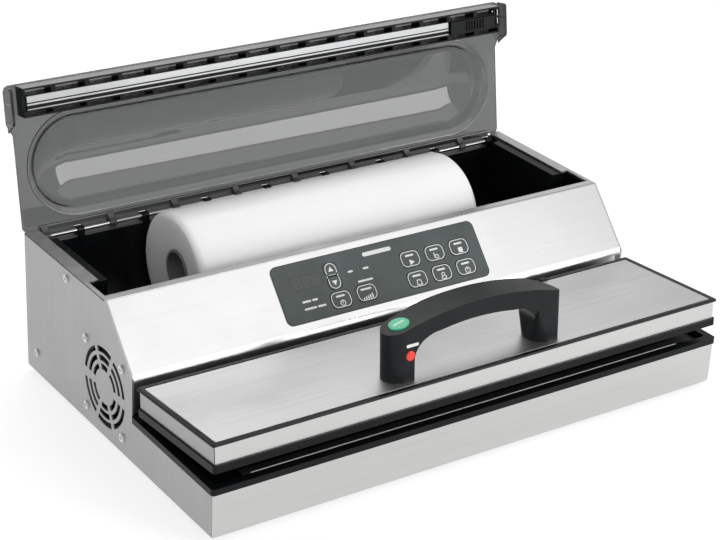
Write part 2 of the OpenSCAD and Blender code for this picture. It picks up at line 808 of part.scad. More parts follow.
// Black lower frame: rim, inner wall, underside plate and hinge lugs
module lid_frame() {
    color(black) on_lid() difference() {
        union() {
            translate([0, 0, lid_bottom]) linear_extrude(lid_frame_top - lid_bottom) lid_ring(0.5, 9, 2.5);
            translate([0, 0, lid_frame_top - e]) linear_extrude(lid_wall_h) lid_ring(3.4, 2, 1.5);
            block([-half_w + 8, 8, 51], [half_w - 8, 98, 53]);
            for (x = hinge_x)
                for (s = [-1, 1])
                    translate([x + s * 13, 0, 0]) along_x(-1.6, 1.6) union() {
                        polygon([[106, lid_frame_top - 2], [116, lid_frame_top - 2], [115, 60], [108, 60]]);
                        translate([lid_pivot_y, lid_pivot_z]) circle(r = 4.6, $fn = 48);
                    }
        }
        for (x = hinge_x) {
            bar_x(x - 16, x + 16, lid_pivot_y, lid_pivot_z, lid_pin_r + fit);
            // room for the fixed bracket between the lugs
            block([x - hinge_room, 100, lid_bottom - 1],
                [x + hinge_room, lid_d + 1, lid_frame_top + lid_wall_h + 1]);
        }
        // seat of the silicone strip in the front rim
        block([-seal_x - gap, seal_y0 - 0.6 - gap, lid_bottom - 1], [seal_x + gap, 12, 51 + e]);
    }
}

module upper_gasket() {
    color("#2b2d2e") on_lid() translate([0, 0, 45.8]) linear_extrude(51 - 45.8) ring_plan(0);
}

module silicone_strip() {
    color("#8a3f36") on_lid() block([-seal_x, seal_y0 - 0.6, 43.4], [seal_x, seal_y1 + 0.6, 51]);
}

handle_screw_at = [[handle_left_x + 1, 27], [handle_right_x, 27]];

// Outline of the handle seen from the front, heights above the lid
module handle_front_outline() {
    difference() {
        polygon(concat([[-95, 0]],
            arc_points(handle_arc_x, handle_h - handle_arc_r, handle_arc_r, 110, 71.5, 40), [[95, 0]]));
        polygon(concat([[grip_half, -1], [grip_half, grip_side]],
            [for (i = [1:10]) let (a = i * 9)
                [grip_half - grip_corner + grip_corner * cos(a), grip_side + grip_rise * sin(a)]],
            arc_points(0, grip_crown - grip_arc_r, grip_arc_r, 90 - grip_span + 1, 90 + grip_span - 1, 10),
            [for (i = [0:9]) let (a = 90 + i * 9)
                [-grip_half + grip_corner + grip_corner * cos(a), grip_side + grip_rise * sin(a)]],
            [[-grip_half, grip_side], [-grip_half, -1]]));
    }
}

grip_span = asin((grip_half - grip_corner) / grip_arc_r);
grip_rise = grip_crown - grip_arc_r + grip_arc_r * cos(grip_span) - grip_side;

// Outline of the handle seen from above: a round left end and a squarer right end
module handle_plan() {
    polygon(concat(
        arc_points(handle_left_x, handle_left_y, handle_left_r, 98, 270, 24),
        arc_points(handle_end_x - handle_corner_r, handle_front + handle_corner_r,
            handle_corner_r, -90, 0, 8),
        arc_points(handle_end_x - handle_back_r, handle_y + handle_r - handle_back_r,
            handle_back_r, 0, 90, 16),
        [[-35, handle_y + handle_r]]));
}

// Cutter that rounds an upright inner edge of the right leg, fading out at that height
module leg_rounding(fade_h) {
    translate([grip_half, 0, -e]) linear_extrude(fade_h, scale = 0.01)
        polygon(concat([[-grip_half, -1], [leg_round, -1]],
            arc_points(leg_round, leg_round, leg_round, -90, -180, 16), [[-grip_half, leg_round]]));
}

module handle() {
    color(charcoal) on_lid() translate([0, 0, lid_top - 0.25]) difference() {
        intersection() {
            linear_extrude(handle_h + 5) handle_plan();
            along_y(0, 60) handle_front_outline();
        }
        translate([button_x, button_y, button_z]) rotate([0, button_a, 0])
            translate([0, 0, -9]) cylinder(r = button_r + 0.3, h = 20, $fn = arc_fn);
        bar_y(red_x, handle_front - 3, handle_front + 9, red_z, red_r + 0.15, 48);
        for (p = handle_screw_at)
            translate([p[0], p[1], -1]) cylinder(r = 2.06, h = 13, $fn = small_fn);
        translate([0, handle_front, 0]) leg_rounding(30);
        translate([0, handle_y + handle_r, 0]) mirror([0, 1, 0]) leg_rounding(38);
    }
}

module handle_screws() {
    color("#c8cacb") on_lid()
        for (p = handle_screw_at) {
            translate([p[0], p[1], lid_top - 1.6]) cylinder(r = 2, h = 12, $fn = small_fn);
            translate([p[0], p[1], lid_top - 4]) cylinder(r = 4, h = 2.4, $fn = small_fn);
        }
}

// Round push button in the handle's top, standing a little proud
module start_button() {
    color("#37b277") on_lid() translate([button_x, button_y, lid_top - 0.25 + button_z])
        rotate([0, button_a, 0]) {
            translate([0, 0, -5.5]) cylinder(r = button_r, h = 6.3, $fn = arc_fn);
            translate([0, 0, 0.8 - e]) cylinder(r1 = button_r, r2 = button_r - 1, h = 0.6, $fn = arc_fn);
        }
}

module seal_button() {
    color("#e6483a") on_lid() translate([0, 0, lid_top - 0.25]) {
        bar_y(red_x, handle_front - 1.2, handle_front + 6, red_z, red_r, 48);
        translate([red_x, handle_front - 1.2 + e, red_z]) rotate([90, 0, 0])
            cylinder(r1 = red_r, r2 = red_r - 0.8, h = 0.5, $fn = 48);
    }
}

// ---- Storage cover ------------------------------------------------------------------------------

module dome_plan(grow) {
    half_x = dome_half_x + grow;
    half_y = dome_half_y + grow;
    translate([0, dome_y]) union() {
        translate([-half_x + half_y, -half_y]) square([2 * (half_x - half_y), 2 * half_y]);
        for (s = [-1, 1])
            translate([s * (half_x - half_y), 0]) circle(r = half_y, $fn = 40);
    }
}

// Stadium mound from z0 up to z1, stepped in to a rounded top
module dome(grow, z0, z1) {
    rise = z1 - z0;
    for (i = [0:2]) {
        low = z0 + rise * dome_level[i] - (i > 0 ? 0.05 : 0);
        high = z0 + rise * dome_level[i + 1];
        hull() {
            translate([0, 0, low]) linear_extrude(0.02) dome_plan(grow - dome_inset[i]);
            translate([0, 0, high - 0.02]) linear_extrude(0.02) dome_plan(grow - dome_inset[i + 1]);
        }
    }
}

module cover_shell() {
    color("#5b5f60", 0.6) on_cover() difference() {
        union() {
            translate([0, 0, cover_z - cover_t]) linear_extrude(cover_t) union() {
                translate([-half_w, cover_y0]) square([body_w, cover_y1 - cover_y0]);
                // ears at the free edge, tapering away
                polygon([[-half_w - ear_w, cover_y0], [half_w + ear_w, cover_y0],
                    [half_w + ear_w, cover_y0 + 33], [half_w, cover_y0 + 43],
                    [-half_w, cover_y0 + 43], [-half_w - ear_w, cover_y0 + 33]]);
            }
            dome(0, cover_z - e, cover_z + dome_h);
            // skirts under the ears, which cover the rail's ends
            for (s = [0, 1])
                mirror([s, 0, 0]) along_x(half_w + ear_w - skirt_t, half_w + ear_w)
                    polygon([[cover_y0, cover_z - 1], [cover_y0, skirt_z], [cover_y0 + 30, skirt_z],
                        [cover_y0 + 40, cover_z - cover_t], [cover_y0 + 33, cover_z - 1]]);
        }
        dome(-dome_t, cover_z - cover_t - e, cover_z + dome_h - dome_t);
    }
}

module cover_hinge_strip() {
    low = cover_z - cover_t - 2.6;
    high = cover_z - cover_t - 0.02;
    color(black) on_cover() difference() {
        union() {
            block([-hinge_half_x, strip_y0, low], [hinge_half_x, hinge_y - 3, high]);
            for (i = [0:2:knuckle_count - 1])
                translate([knuckle_at(i) - knuckle_w / 2, 0, 0]) {
                    bar_x(0, knuckle_w, hinge_y, hinge_z, knuckle_r);
                    along_x(0, knuckle_w) polygon([[strip_y0, low + e], [hinge_y - 3.2, hinge_z],
                        [hinge_y + 3.2, hinge_z], [hinge_y - 1, high], [strip_y0, high]]);
                }
        }
        bar_x(-half_w, half_w, hinge_y, hinge_z, rod_r + fit);
    }
}

// Black rail under the cover's free edge: a grooved middle between two rows of open bays
module cutter_rail() {
    high = cover_z - cover_t - 0.02;
    color(black) on_cover() difference() {
        block([-rail_x, rail_y0, rail_low], [rail_x, rail_y1, high]);
        // groove of the track and slot of the blade
        block([-rail_x - 1, track_y0 - 0.2, rail_low - 1], [rail_x + 1, lip_y1 + 0.2, rail_low + 3]);
        block([-rail_x + 6, slot_y - slot_w / 2, rail_low - 1], [rail_x + 1, slot_y + slot_w / 2,
            rail_low + 8]);
        for (row = [0, 2]) {
            for (i = [-7:6])
                block([i * rail_pitch + rail_rib / 2, bay_y[row], rail_low - 1],
                    [(i + 1) * rail_pitch - rail_rib / 2, bay_y[row + 1], high + 1]);
            for (s = [0, 1])
                mirror([s, 0, 0]) block([7 * rail_pitch + rail_rib / 2, bay_y[row], rail_low - 1],
                    [rail_x - 2, bay_y[row + 1], high + 1]);
        }
    }
}

// Extruded track: a slotted face and a thin lip on one web
module cutter_track() {
    color("#d4d6d8") on_cover() difference() {
        union() {
            block([-rail_x + 3, track_y0, rail_low + 0.8], [rail_x - 3, track_y1, rail_low + 2.9]);
            block([-rail_x + 3, track_y1 - e, rail_low + 2.2], [rail_x - 3, lip_y1, rail_low + 2.9]);
            block([-rail_x + 3, lip_y1 - 1, rail_low + 0.4], [rail_x - 3, lip_y1, rail_low + 2.2 + e]);
        }
        block([-rail_x + 6, slot_y - slot_w / 2, rail_low],
            [rail_x - 2, slot_y + slot_w / 2, rail_low + 4]);
    }
}

module cutter_carriage() {
    neck = slot_w / 2 - 0.4;
    side = 0.3;
    color(black) on_cover() {
        block([cutter_x0, track_y0 + side, rail_low - 1.9], [cutter_x1, track_y1 - side, rail_low + 0.5]);
        block([cutter_x0 + 6, slot_y - neck, rail_low + 0.5 - e], [cutter_x0 + 50, slot_y + neck,
            rail_low + 4]);
        block([cutter_x0 + 18, track_y0 + side, rail_low - 3],
            [cutter_x0 + 40, track_y1 - side, rail_low - 1.9 + e]);
    }
}

module cutter_blade() {
    color("#d4d6d8") on_cover() translate([cutter_x0 + 28, slot_y, rail_low + 4.02])
        linear_extrude(3) square([14, 0.6], center = true);
}

bottom_plate();
rubber_feet();
left_side_panel();
right_side_panel();
front_panel();
rear_panel();
slope_panel();
panel_overlay();
display_window();
display_module();
control_board();
key_switches();
casing_screws();
fan_screws();
deck_tray();
lower_gasket();
seal_bar();
ptfe_tape();
lid_hinge_brackets();
lid_hinge_pins();
lid_hinge_springs();
lid_switch();
film_bin();
cover_hinge_rod();
vacuum_pump();
pump_motor();
vacuum_hose();
solenoid_valve();
transformer();
fan_frame();
power_inlet();
fan_rotor();
film_core();
film_wrap();
lid_top_rim();
lid_skin();
lid_band();
lid_frame();
upper_gasket();
silicone_strip();
handle();
handle_screws();
start_button();
seal_button();
key_start();
key_pulse();
key_stop();
key_seal();
key_marinate();
key_power();
key_set();
key_vacuum_level();
key_up();
key_down();
cover_shell();
cover_hinge_strip();
cutter_rail();
cutter_track();
cutter_carriage();
cutter_blade();
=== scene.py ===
import json
import math

import bmesh
import bpy
from mathutils import Matrix, Vector


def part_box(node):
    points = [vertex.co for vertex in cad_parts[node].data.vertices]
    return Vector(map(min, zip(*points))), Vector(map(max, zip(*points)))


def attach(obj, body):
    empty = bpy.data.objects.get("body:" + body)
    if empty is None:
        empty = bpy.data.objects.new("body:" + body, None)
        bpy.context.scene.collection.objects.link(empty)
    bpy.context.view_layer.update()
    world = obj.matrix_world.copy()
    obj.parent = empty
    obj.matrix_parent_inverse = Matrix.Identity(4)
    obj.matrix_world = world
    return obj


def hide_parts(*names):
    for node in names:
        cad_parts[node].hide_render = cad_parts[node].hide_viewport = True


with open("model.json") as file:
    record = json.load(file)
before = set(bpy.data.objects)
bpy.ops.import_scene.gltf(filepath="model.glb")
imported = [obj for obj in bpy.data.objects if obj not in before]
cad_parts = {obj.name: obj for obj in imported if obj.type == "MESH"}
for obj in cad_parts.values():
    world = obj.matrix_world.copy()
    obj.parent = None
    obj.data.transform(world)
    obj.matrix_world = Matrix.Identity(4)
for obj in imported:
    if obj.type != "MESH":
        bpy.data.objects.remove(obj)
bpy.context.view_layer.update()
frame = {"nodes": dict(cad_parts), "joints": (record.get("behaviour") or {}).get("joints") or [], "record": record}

# ---- Spaces: every drawn shape is in millimetres of one of these -----------------------------------
# BODY has X across, Y from the front face and Z from the steel's lower edge. LID and COVER hold a
# piece drawn in its shut position, and SLOPE has X across, Y up the control panel and Z out of it.

MM = 0.001
steel_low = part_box("front_panel")[0]
BODY = Matrix.Translation((0, steel_low.y, steel_low.z)) @ Matrix.Scale(MM, 4)
SLOPE_FOOT = (126, 75)                  # Y and Z where the sloped panel starts
SLOPE_HEAD = (170, 124)


def joint(name):
    return next(j for j in frame["joints"] if j["name"] == name)


def turned(name, degrees):
    pivot = Vector(joint(name)["pos_m"])
    turn = Matrix.Rotation(math.radians(degrees), 4, Vector(joint(name)["axis"]))
    return Matrix.Translation(pivot) @ turn @ Matrix.Translation(-pivot)


LID = turned("lid_hinge", -joint("lid_hinge")["range_deg"][0]) @ BODY
COVER = turned("cover_hinge", -joint("cover_hinge")["range_deg"][1]) @ BODY
slope_angle = math.atan2(SLOPE_HEAD[1] - SLOPE_FOOT[1], SLOPE_HEAD[0] - SLOPE_FOOT[0])
SLOPE = BODY @ Matrix.Translation((0, *SLOPE_FOOT)) @ Matrix.Rotation(slope_angle, 4, "X")

HALF_W = 250                            # half width of the steel body
SHEET = 1.5
INNER_X = 248.4                         # half width between the side panels
LID_TOP = 71.2
LID_DEPTH = 119.4
HANDLE_BASE = LID_TOP - 0.25
HANDLE_FACE_Y = 11.5                    # front face of the handle
BUTTON_AT = (-68, 24.5, 44.13)          # crown of the green button's well, from the handle's base
BUTTON_TILT = math.asin(-73 / 289)
BUTTON = (LID @ Matrix.Translation((BUTTON_AT[0], BUTTON_AT[1], HANDLE_BASE + BUTTON_AT[2]))
          @ Matrix.Rotation(BUTTON_TILT, 4, "Y"))
HANDLE_FACE = LID @ Matrix.Translation((0, HANDLE_FACE_Y, HANDLE_BASE)) @ Matrix.Rotation(math.pi / 2, 4, "X")


def size_in(node, space):
    """Lowest and highest corner of a CAD node, in millimetres of that space."""
    back = space.inverted()
    points = [back @ v.co for v in frame["nodes"][node].data.vertices]
    low = Vector([min(p[i] for p in points) for i in range(3)])
    high = Vector([max(p[i] for p in points) for i in range(3)])
    return low, high


# ---- Materials --------------------------------------------------------------------------------------

class Shader:
    """A Principled material and short ways to drive it from procedural textures."""

    def __init__(self, name, colour, roughness, metallic=0.0):
        self.material = bpy.data.materials.new(name)
        self.material.use_nodes = True
        self.tree = self.material.node_tree
        self.bsdf = self.tree.nodes["Principled BSDF"]
        self.colour = colour
        self.roughness = roughness
        self.set("Base Color", (*colour, 1))
        self.set("Roughness", roughness)
        self.set("Metallic", metallic)
        self.place = self.tree.nodes.new("ShaderNodeTexCoord").outputs["Object"]
        self.normal = None

    def set(self, socket, value):
        self.bsdf.inputs[socket].default_value = value
        return self

    def noise(self, scale, stretch=(1, 1, 1), detail=3.0, roughness=0.55):
        mapping = self.tree.nodes.new("ShaderNodeMapping")
        mapping.inputs["Scale"].default_value = stretch
        texture = self.tree.nodes.new("ShaderNodeTexNoise")
        texture.inputs["Scale"].default_value = scale
        texture.inputs["Detail"].default_value = detail
        texture.inputs["Roughness"].default_value = roughness
        self.tree.links.new(self.place, mapping.inputs["Vector"])
        self.tree.links.new(mapping.outputs["Vector"], texture.inputs["Vector"])
        return texture.outputs["Fac"]

    def waves(self, scale, axis="X", rings=False, distortion=0.0):
        texture = self.tree.nodes.new("ShaderNodeTexWave")
        texture.wave_type = "RINGS" if rings else "BANDS"
        if rings:
            texture.rings_direction = axis
        else:
            texture.bands_direction = axis
        texture.inputs["Scale"].default_value = scale
        texture.inputs["Distortion"].default_value = distortion
        self.tree.links.new(self.place, texture.inputs["Vector"])
        return texture.outputs["Fac"]

    def spread(self, fac, low, high, start=0.3, end=0.7):
        node = self.tree.nodes.new("ShaderNodeMapRange")
        node.inputs["From Min"].default_value = start
        node.inputs["From Max"].default_value = end
        node.inputs["To Min"].default_value = low
        node.inputs["To Max"].default_value = high
        self.tree.links.new(fac, node.inputs["Value"])
        return node.outputs["Result"]

    def tint(self, fac, amount, other=None):
        """Varies the base colour by that share of itself, or towards another colour."""
        mix = self.tree.nodes.new("ShaderNodeMix")
        mix.data_type = "RGBA"
        dark = tuple(c * (1 - amount) for c in self.colour)
        light = other or tuple(min(1.0, c * (1 + amount)) for c in self.colour)
        mix.inputs["A"].default_value = (*dark, 1)
        mix.inputs["B"].default_value = (*light, 1)
        self.tree.links.new(self.spread(fac, 0, 1), mix.inputs["Factor"])
        self.tree.links.new(mix.outputs["Result"], self.bsdf.inputs["Base Color"])
        return self

    def gloss(self, fac, amount):
        low = max(0.02, self.roughness - amount)
        self.tree.links.new(self.spread(fac, low, self.roughness + amount), self.bsdf.inputs["Roughness"])
        return self

    def bump(self, fac, depth, strength=1.0):
        """Adds relief of that depth in metres."""
        node = self.tree.nodes.new("ShaderNodeBump")
        node.inputs["Distance"].default_value = depth
        node.inputs["Strength"].default_value = strength
        self.tree.links.new(fac, node.inputs["Height"])
        if self.normal is not None:
            self.tree.links.new(self.normal, node.inputs["Normal"])
        self.normal = node.outputs["Normal"]
        self.tree.links.new(self.normal, self.bsdf.inputs["Normal"])
        return self


def brushed(name, colour, roughness, along, streak=0.05, depth=6e-6):
    """Brushed stainless sheet: fine scratches along one axis over slow, cloudy variation."""
    s = Shader(name, colour, roughness, 1.0)
    stretch = tuple(0.02 if axis == along else 1.0 for axis in "XYZ")
    lines = s.noise(900, stretch, 4)
    s.tint(s.noise(260, stretch, 3), streak)
    s.gloss(s.noise(14), 0.05)
    s.bump(lines, depth)
    return s.material


def band_steel_shaded_end():
    """Brushed band of the lid, its left folded end painted darker than its front as shade."""
    s = Shader("band_steel_shaded_end", (0.56, 0.557, 0.55), 0.34, 1.0)
    parts = s.tree.nodes.new("ShaderNodeSeparateXYZ")
    s.tree.links.new(s.place, parts.inputs["Vector"])
    mix = s.tree.nodes.new("ShaderNodeMix")
    mix.data_type = "RGBA"
    # painted shade: darker colour for the band's left end face, below x = -247.6 mm
    mix.inputs["A"].default_value = (0.36, 0.36, 0.358, 1)
    mix.inputs["B"].default_value = (*s.colour, 1)
    s.tree.links.new(s.spread(parts.outputs["X"], 0, 1, -0.2476, -0.2470), mix.inputs["Factor"])
    s.tree.links.new(mix.outputs["Result"], s.bsdf.inputs["Base Color"])
    s.gloss(s.noise(14), 0.05)
    s.bump(s.noise(900, (0.02, 1, 1), 4), 6e-6)
    return s.material


def moulded(name, colour, roughness, pebble=9e-6, scale=1400, shine=0.5):
    """Moulded plastic with a fine spark-eroded texture."""
    s = Shader(name, colour, roughness)
    s.tint(s.noise(35), 0.12)
    s.gloss(s.noise(60, detail=5), 0.06)
    s.bump(s.noise(scale, detail=2), pebble)
    s.set("Specular IOR Level", shine)
    return s.material


def smoke(name, tint):
    """Transparent grey plastic: the tint is what passes through one wall."""
    s = Shader(name, (tint, tint * 1.03, tint * 1.02), 0.04)
    s.gloss(s.noise(20), 0.015)
    s.set("Transmission Weight", 1.0)
    s.set("IOR", 1.46)
    s.bump(s.noise(7, detail=1), 1.5e-5)
    return s.material


def film():
    s = Shader("bag_film", (0.96, 0.965, 0.97), 0.34)
    s.tint(s.noise(30), 0.015)
    s.set("Subsurface Weight", 0.6)
    s.set("Subsurface Radius", (0.02, 0.02, 0.021))
    s.set("Subsurface Scale", 1.0)
    s.bump(s.noise(25, (0.4, 1, 1), 2), 1.2e-4)
    s.bump(s.noise(800, detail=1), 6e-6)
    return s.material


def card():
    s = Shader("core_card", (0.19, 0.188, 0.186), 0.8)
    s.tint(s.noise(300, (0.2, 1, 1)), 0.15)
    s.bump(s.noise(1200), 3e-5)
    return s.material


def plain(name, colour, roughness, metallic=0.0, scale=200, depth=1e-5, vary=0.08):
    s = Shader(name, colour, roughness, metallic)
    s.tint(s.noise(scale / 6), vary)
    s.gloss(s.noise(scale / 3), 0.05)
    s.bump(s.noise(scale * 4), depth)
    return s.material


def woven_tape():
    s = Shader("tape", (0.016, 0.014, 0.013), 0.5)
    s.set("Specular IOR Level", 0.3)
    s.tint(s.noise(200), 0.15)
    s.bump(s.waves(500, "X"), 2e-5)
    s.bump(s.waves(500, "Y"), 2e-5)
    return s.material


def board():
    s = Shader("circuit_board", (0.02, 0.12, 0.05), 0.35)
    s.tint(s.noise(700, detail=1), 0.5)
    s.bump(s.noise(500), 2e-5)
    return s.material


MATERIALS = {
    # painted shade: the side, rear and bottom panels use a darker copy of the body's brushed steel than the front
    # panel and the slope
    "steel_panels": brushed("steel_panels", (0.42, 0.422, 0.425), 0.5, "Z", 0.03),
    "steel_lid": brushed("steel_lid", (0.60, 0.60, 0.60), 0.40, "X", 0.05),
    "bright_steel": plain("bright_steel", (0.72, 0.72, 0.73), 0.14, 1.0),
    "rubber": moulded("rubber", (0.02, 0.02, 0.02), 0.8, 3e-5, 900, 0.3),
    "gasket_rubber": moulded("gasket_rubber", (0.02, 0.021, 0.022), 0.7, 4e-5, 1100, 0.3),
    "silicone": moulded("silicone", (0.18, 0.05, 0.04), 0.55),
    "black_plastic": moulded("black_plastic", (0.004, 0.0048, 0.0055), 0.26, 5e-6, 1400, 0.15),
    "charcoal_plastic": moulded("charcoal_plastic", (0.0115, 0.0132, 0.0142), 0.32, 7e-6, 1400, 0.14),
    "overlay": moulded("overlay", (0.075, 0.088, 0.087), 0.48, 4e-6, 1400, 0.3),
    "display": moulded("display", (0.073, 0.085, 0.084), 0.44, 4e-6, 1400, 0.3),
    "circuit_board": board(),
    "seal_bar": plain("seal_bar", (0.8, 0.8, 0.8), 0.3, 1.0),
    "tape": woven_tape(),
    "pump_housing": plain("pump_housing", (0.05, 0.055, 0.06), 0.5),
    "transformer": plain("transformer", (0.2, 0.17, 0.13), 0.5, 0.6),
    "hose": plain("hose", (0.7, 0.72, 0.72), 0.3),
    "core_card": card(),
    "bag_film": film(),
    "green_button": moulded("green_button", (0.06, 0.47, 0.25), 0.3, 4e-6),
    "red_button": moulded("red_button", (0.72, 0.045, 0.03), 0.28, 4e-6),
    "smoke_plastic": smoke("smoke_plastic", 0.13),
    "aluminium_track": brushed("aluminium_track", (0.40, 0.405, 0.41), 0.45, "X", 0.02),
}
rim_plastic = moulded("rim_plastic", (0.005, 0.0062, 0.0066), 0.27, 4e-6, 1400, 0.22)
# painted light: the front panel and the slope get lighter copies of the same body steel than the side panels
steel_front = brushed("steel_front", (0.56, 0.557, 0.55), 0.34, "X", 0.025)
steel_slope = brushed("steel_slope", (0.60, 0.60, 0.605), 0.30, "X", 0.015)
hinge_steel = brushed("hinge_steel", (0.30, 0.305, 0.31), 0.22, "X", 0.05)
strip_plastic = moulded("strip_plastic", (0.05, 0.052, 0.052), 0.4, 5e-6, 1400, 0.4)
# painted light: a duller, partly diffuse copy of the panel steel, laid on the left flange so it reads lighter
flange_steel_lit_copy = plain("flange_steel_lit_copy", (0.30, 0.302, 0.30), 0.5, 0.35, 600, 1e-5, 0.12)
# white ink for the prints; also the painted highlight on the seal bar's edge
print_ink_and_highlight = plain("print_ink_and_highlight", (0.72, 0.74, 0.74), 0.5)
digit_ink = plain("digit_ink", (0.098, 0.083, 0.079), 0.4)
pale_green = plain("pale_green_ink", (0.45, 0.78, 0.58), 0.45)
# dark strips: a real joint at the lid band's corner, and painted shade along the folds and the overlay's edge
seam_and_shade_dark = plain("seam_shadow", (0.03, 0.03, 0.03), 0.6)
# painted shade: a darker copy of the cover's smoke plastic, for the ear skirts
smoke_shaded_copy = smoke("smoke_shaded_copy", 0.07)
rail_edge = plain("rail_edge", (0.30, 0.305, 0.31), 0.45)

# ---- Mesh building ----------------------------------------------------------------------------------

SMOOTH_ANGLE = math.radians(34)
slot_of = {p["node"]: p["material_slot"] for p in frame["record"]["subparts"]}
body_of_node = {n: b for b, ns in frame["record"]["behaviour"]["bodies"].items() for n in ns}


def finish_piece(name, bm, body, slot, material=None, stands_for=()):
    """Turns a bmesh in row-frame metres into a piece with clean normals that rides on its body."""
    bmesh.ops.remove_doubles(bm, verts=bm.verts, dist=1e-6)
    bmesh.ops.recalc_face_normals(bm, faces=bm.faces)
    mesh = bpy.data.meshes.new(name)
    bm.to_mesh(mesh)
    bm.free()
    mesh.shade_smooth()
    mesh.set_sharp_from_angle(angle=SMOOTH_ANGLE)
    piece = bpy.data.objects.new(name, mesh)
    bpy.context.scene.collection.objects.link(piece)
    mesh.materials.append(material or MATERIALS[slot])
    weighted = piece.modifiers.new("weighted_normals", "WEIGHTED_NORMAL")
    weighted.keep_sharp = True
    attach(piece, body)
    if stands_for:
        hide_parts(*stands_for)
    return piece


def sharp_edges(bm, low=SMOOTH_ANGLE):
    return [e for e in bm.edges if len(e.link_faces) == 2 and e.calc_face_angle(0) > low]


def bevel(bm, edges, width, segments):
    bmesh.ops.bevel(bm, geom=edges, offset=width * MM, offset_type="OFFSET", segments=segments,
                    profile=0.5, affect="EDGES", clamp_overlap=True)


def refine(node, width=0.3, segments=2, wide=(), space=BODY, material=None):
    """A CAD node's own shape with its edges rounded. wide holds (test, width) pairs for edges that
    are rounded more, each test reading an edge's middle in millimetres of the space."""
    bm = bmesh.new()
    bm.from_mesh(frame["nodes"][node].data)
    bmesh.ops.remove_doubles(bm, verts=bm.verts, dist=3e-6)
    bmesh.ops.dissolve_limit(bm, angle_limit=math.radians(0.7), verts=bm.verts, edges=bm.edges)
    back = space.inverted()
    for test, size in wide:
        chosen = [e for e in sharp_edges(bm) if test(back @ ((e.verts[0].co + e.verts[1].co) / 2))]
        bevel(bm, chosen, size, 4)
    if width:
        bevel(bm, sharp_edges(bm, math.radians(40)), width, segments)
    return finish_piece(node + "_form", bm, body_of_node[node], slot_of[node], material, (node,))


def ring_of(outline, z):
    return [Vector((p[0], p[1], z)) for p in outline]


def arc(cx, cy, r, start, end, steps):
    turns = [math.radians(start + (end - start) * i / steps) for i in range(steps + 1)]
    return [(cx + r * math.cos(t), cy + r * math.sin(t)) for t in turns]


def round_rect(x0, y0, x1, y1, r, steps=6):
    corners = [(x1 - r, y0 + r, -90), (x1 - r, y1 - r, 0), (x0 + r, y1 - r, 90), (x0 + r, y0 + r, 180)]
    return [p for cx, cy, a in corners for p in arc(cx, cy, r, a, a + 90, steps)]


def stadium(cx, cy, half_x, half_y, steps=24, along=16):
    """Outline with round ends, its long sides cut into equal steps."""
    flat = half_x - half_y
    bottom = [(cx - flat + 2 * flat * i / along, cy - half_y) for i in range(1, along)]
    right = arc(cx + flat, cy, half_y, -90, 90, steps)
    top = [(cx + flat - 2 * flat * i / along, cy + half_y) for i in range(1, along)]
    left = arc(cx - flat, cy, half_y, 90, 270, steps)
    return bottom + right + top + left


def inset(outline, d):
    """The closed outline, drawn anticlockwise, moved inwards by d."""
    moved = []
    count = len(outline)
    for i, (x, y) in enumerate(outline):
        before, after = outline[i - 1], outline[(i + 1) % count]
        one = Vector((before[1] - y, x - before[0])).normalized()
        two = Vector((y - after[1], after[0] - x)).normalized()
        middle = one + two
        middle *= d / max(0.25, one.dot(middle))
        moved.append((x + middle.x, y + middle.y))
    return moved


def add_loft(bm, rings, space, closed=False):
    """Skin over rings of points of equal count. Closed joins the last ring to the first."""
    made = [[bm.verts.new(space @ p) for p in ring] for ring in rings]
    count = len(made[0])
    pairs = list(zip(made, made[1:])) + ([(made[-1], made[0])] if closed else [])
    for one, two in pairs:
        for i in range(count):
            j = (i + 1) % count
            bm.faces.new((one[i], one[j], two[j], two[i]))
    if not closed:
        bm.faces.new(list(reversed(made[0])))
        bm.faces.new(made[-1])


def rounding(r, steps):
    """Pairs of (inset, drop) along a quarter circle, from a flat face to an upright side."""
    return [(r - r * math.sin(a), r - r * math.cos(a))
            for a in (math.pi / 2 * i / steps for i in range(steps + 1))]


def add_slab(bm, outline, z0, z1, r, space, steps=3):
    """Prism with rounded edges."""
    edge = rounding(r, steps)
    rings = [ring_of(inset(outline, d), z0 + drop) for d, drop in edge]
    rings += [ring_of(inset(outline, d), z1 - drop) for d, drop in reversed(edge)]
    add_loft(bm, rings, space)


def add_frame(bm, outer, inner, z0, z1, r, space, steps=3):
    """Closed frame between two outlines of equal count, with rounded edges."""
    edge = rounding(r, steps)
    rings = [ring_of(inset(outer, d), z0 + drop) for d, drop in edge]
    rings += [ring_of(inset(outer, d), z1 - drop) for d, drop in reversed(edge)]
    rings += [ring_of(inset(inner, -d), z1 - drop) for d, drop in edge]
    rings += [ring_of(inset(inner, -d), z0 + drop) for d, drop in reversed(edge)]
    add_loft(bm, rings, space, closed=True)


def add_prism(bm, outline, z0, z1, space):
    add_loft(bm, [ring_of(outline, z0), ring_of(outline, z1)], space)


def add_band(bm, outer, inner, z0, z1, space):
    add_loft(bm, [ring_of(outer, z0), ring_of(outer, z1), ring_of(inner, z1), ring_of(inner, z0)],
             space, closed=True)


def bezier(a, b, c, steps):
    """Points of a quadratic curve from a to c, pulled towards b."""
    points = []
    for i in range(steps + 1):
        t = i / steps
        points.append(tuple((1 - t) ** 2 * a[k] + 2 * t * (1 - t) * b[k] + t * t * c[k] for k in range(2)))
    return points


def rectangle(cx, cy, w, h):
    return [(cx - w / 2, cy - h / 2), (cx + w / 2, cy - h / 2), (cx + w / 2, cy + h / 2),
            (cx - w / 2, cy + h / 2)]


def pill(cx, cy, w, h):
    return round_rect(cx - w / 2, cy - h / 2, cx + w / 2, cy + h / 2, h * 0.45, 4)


def disc(cx, cy, r, steps=24):
    return arc(cx, cy, r, 0, 360 - 360 / steps, steps - 1)


def detail(name, body, slot, material, build):
    """A small piece that stands for no CAD node: build(bm) draws it."""
    bm = bmesh.new()
    build(bm)
    return finish_piece(name, bm, body, slot, material)


# ---- Body -------------------------------------------------------------------------------------------

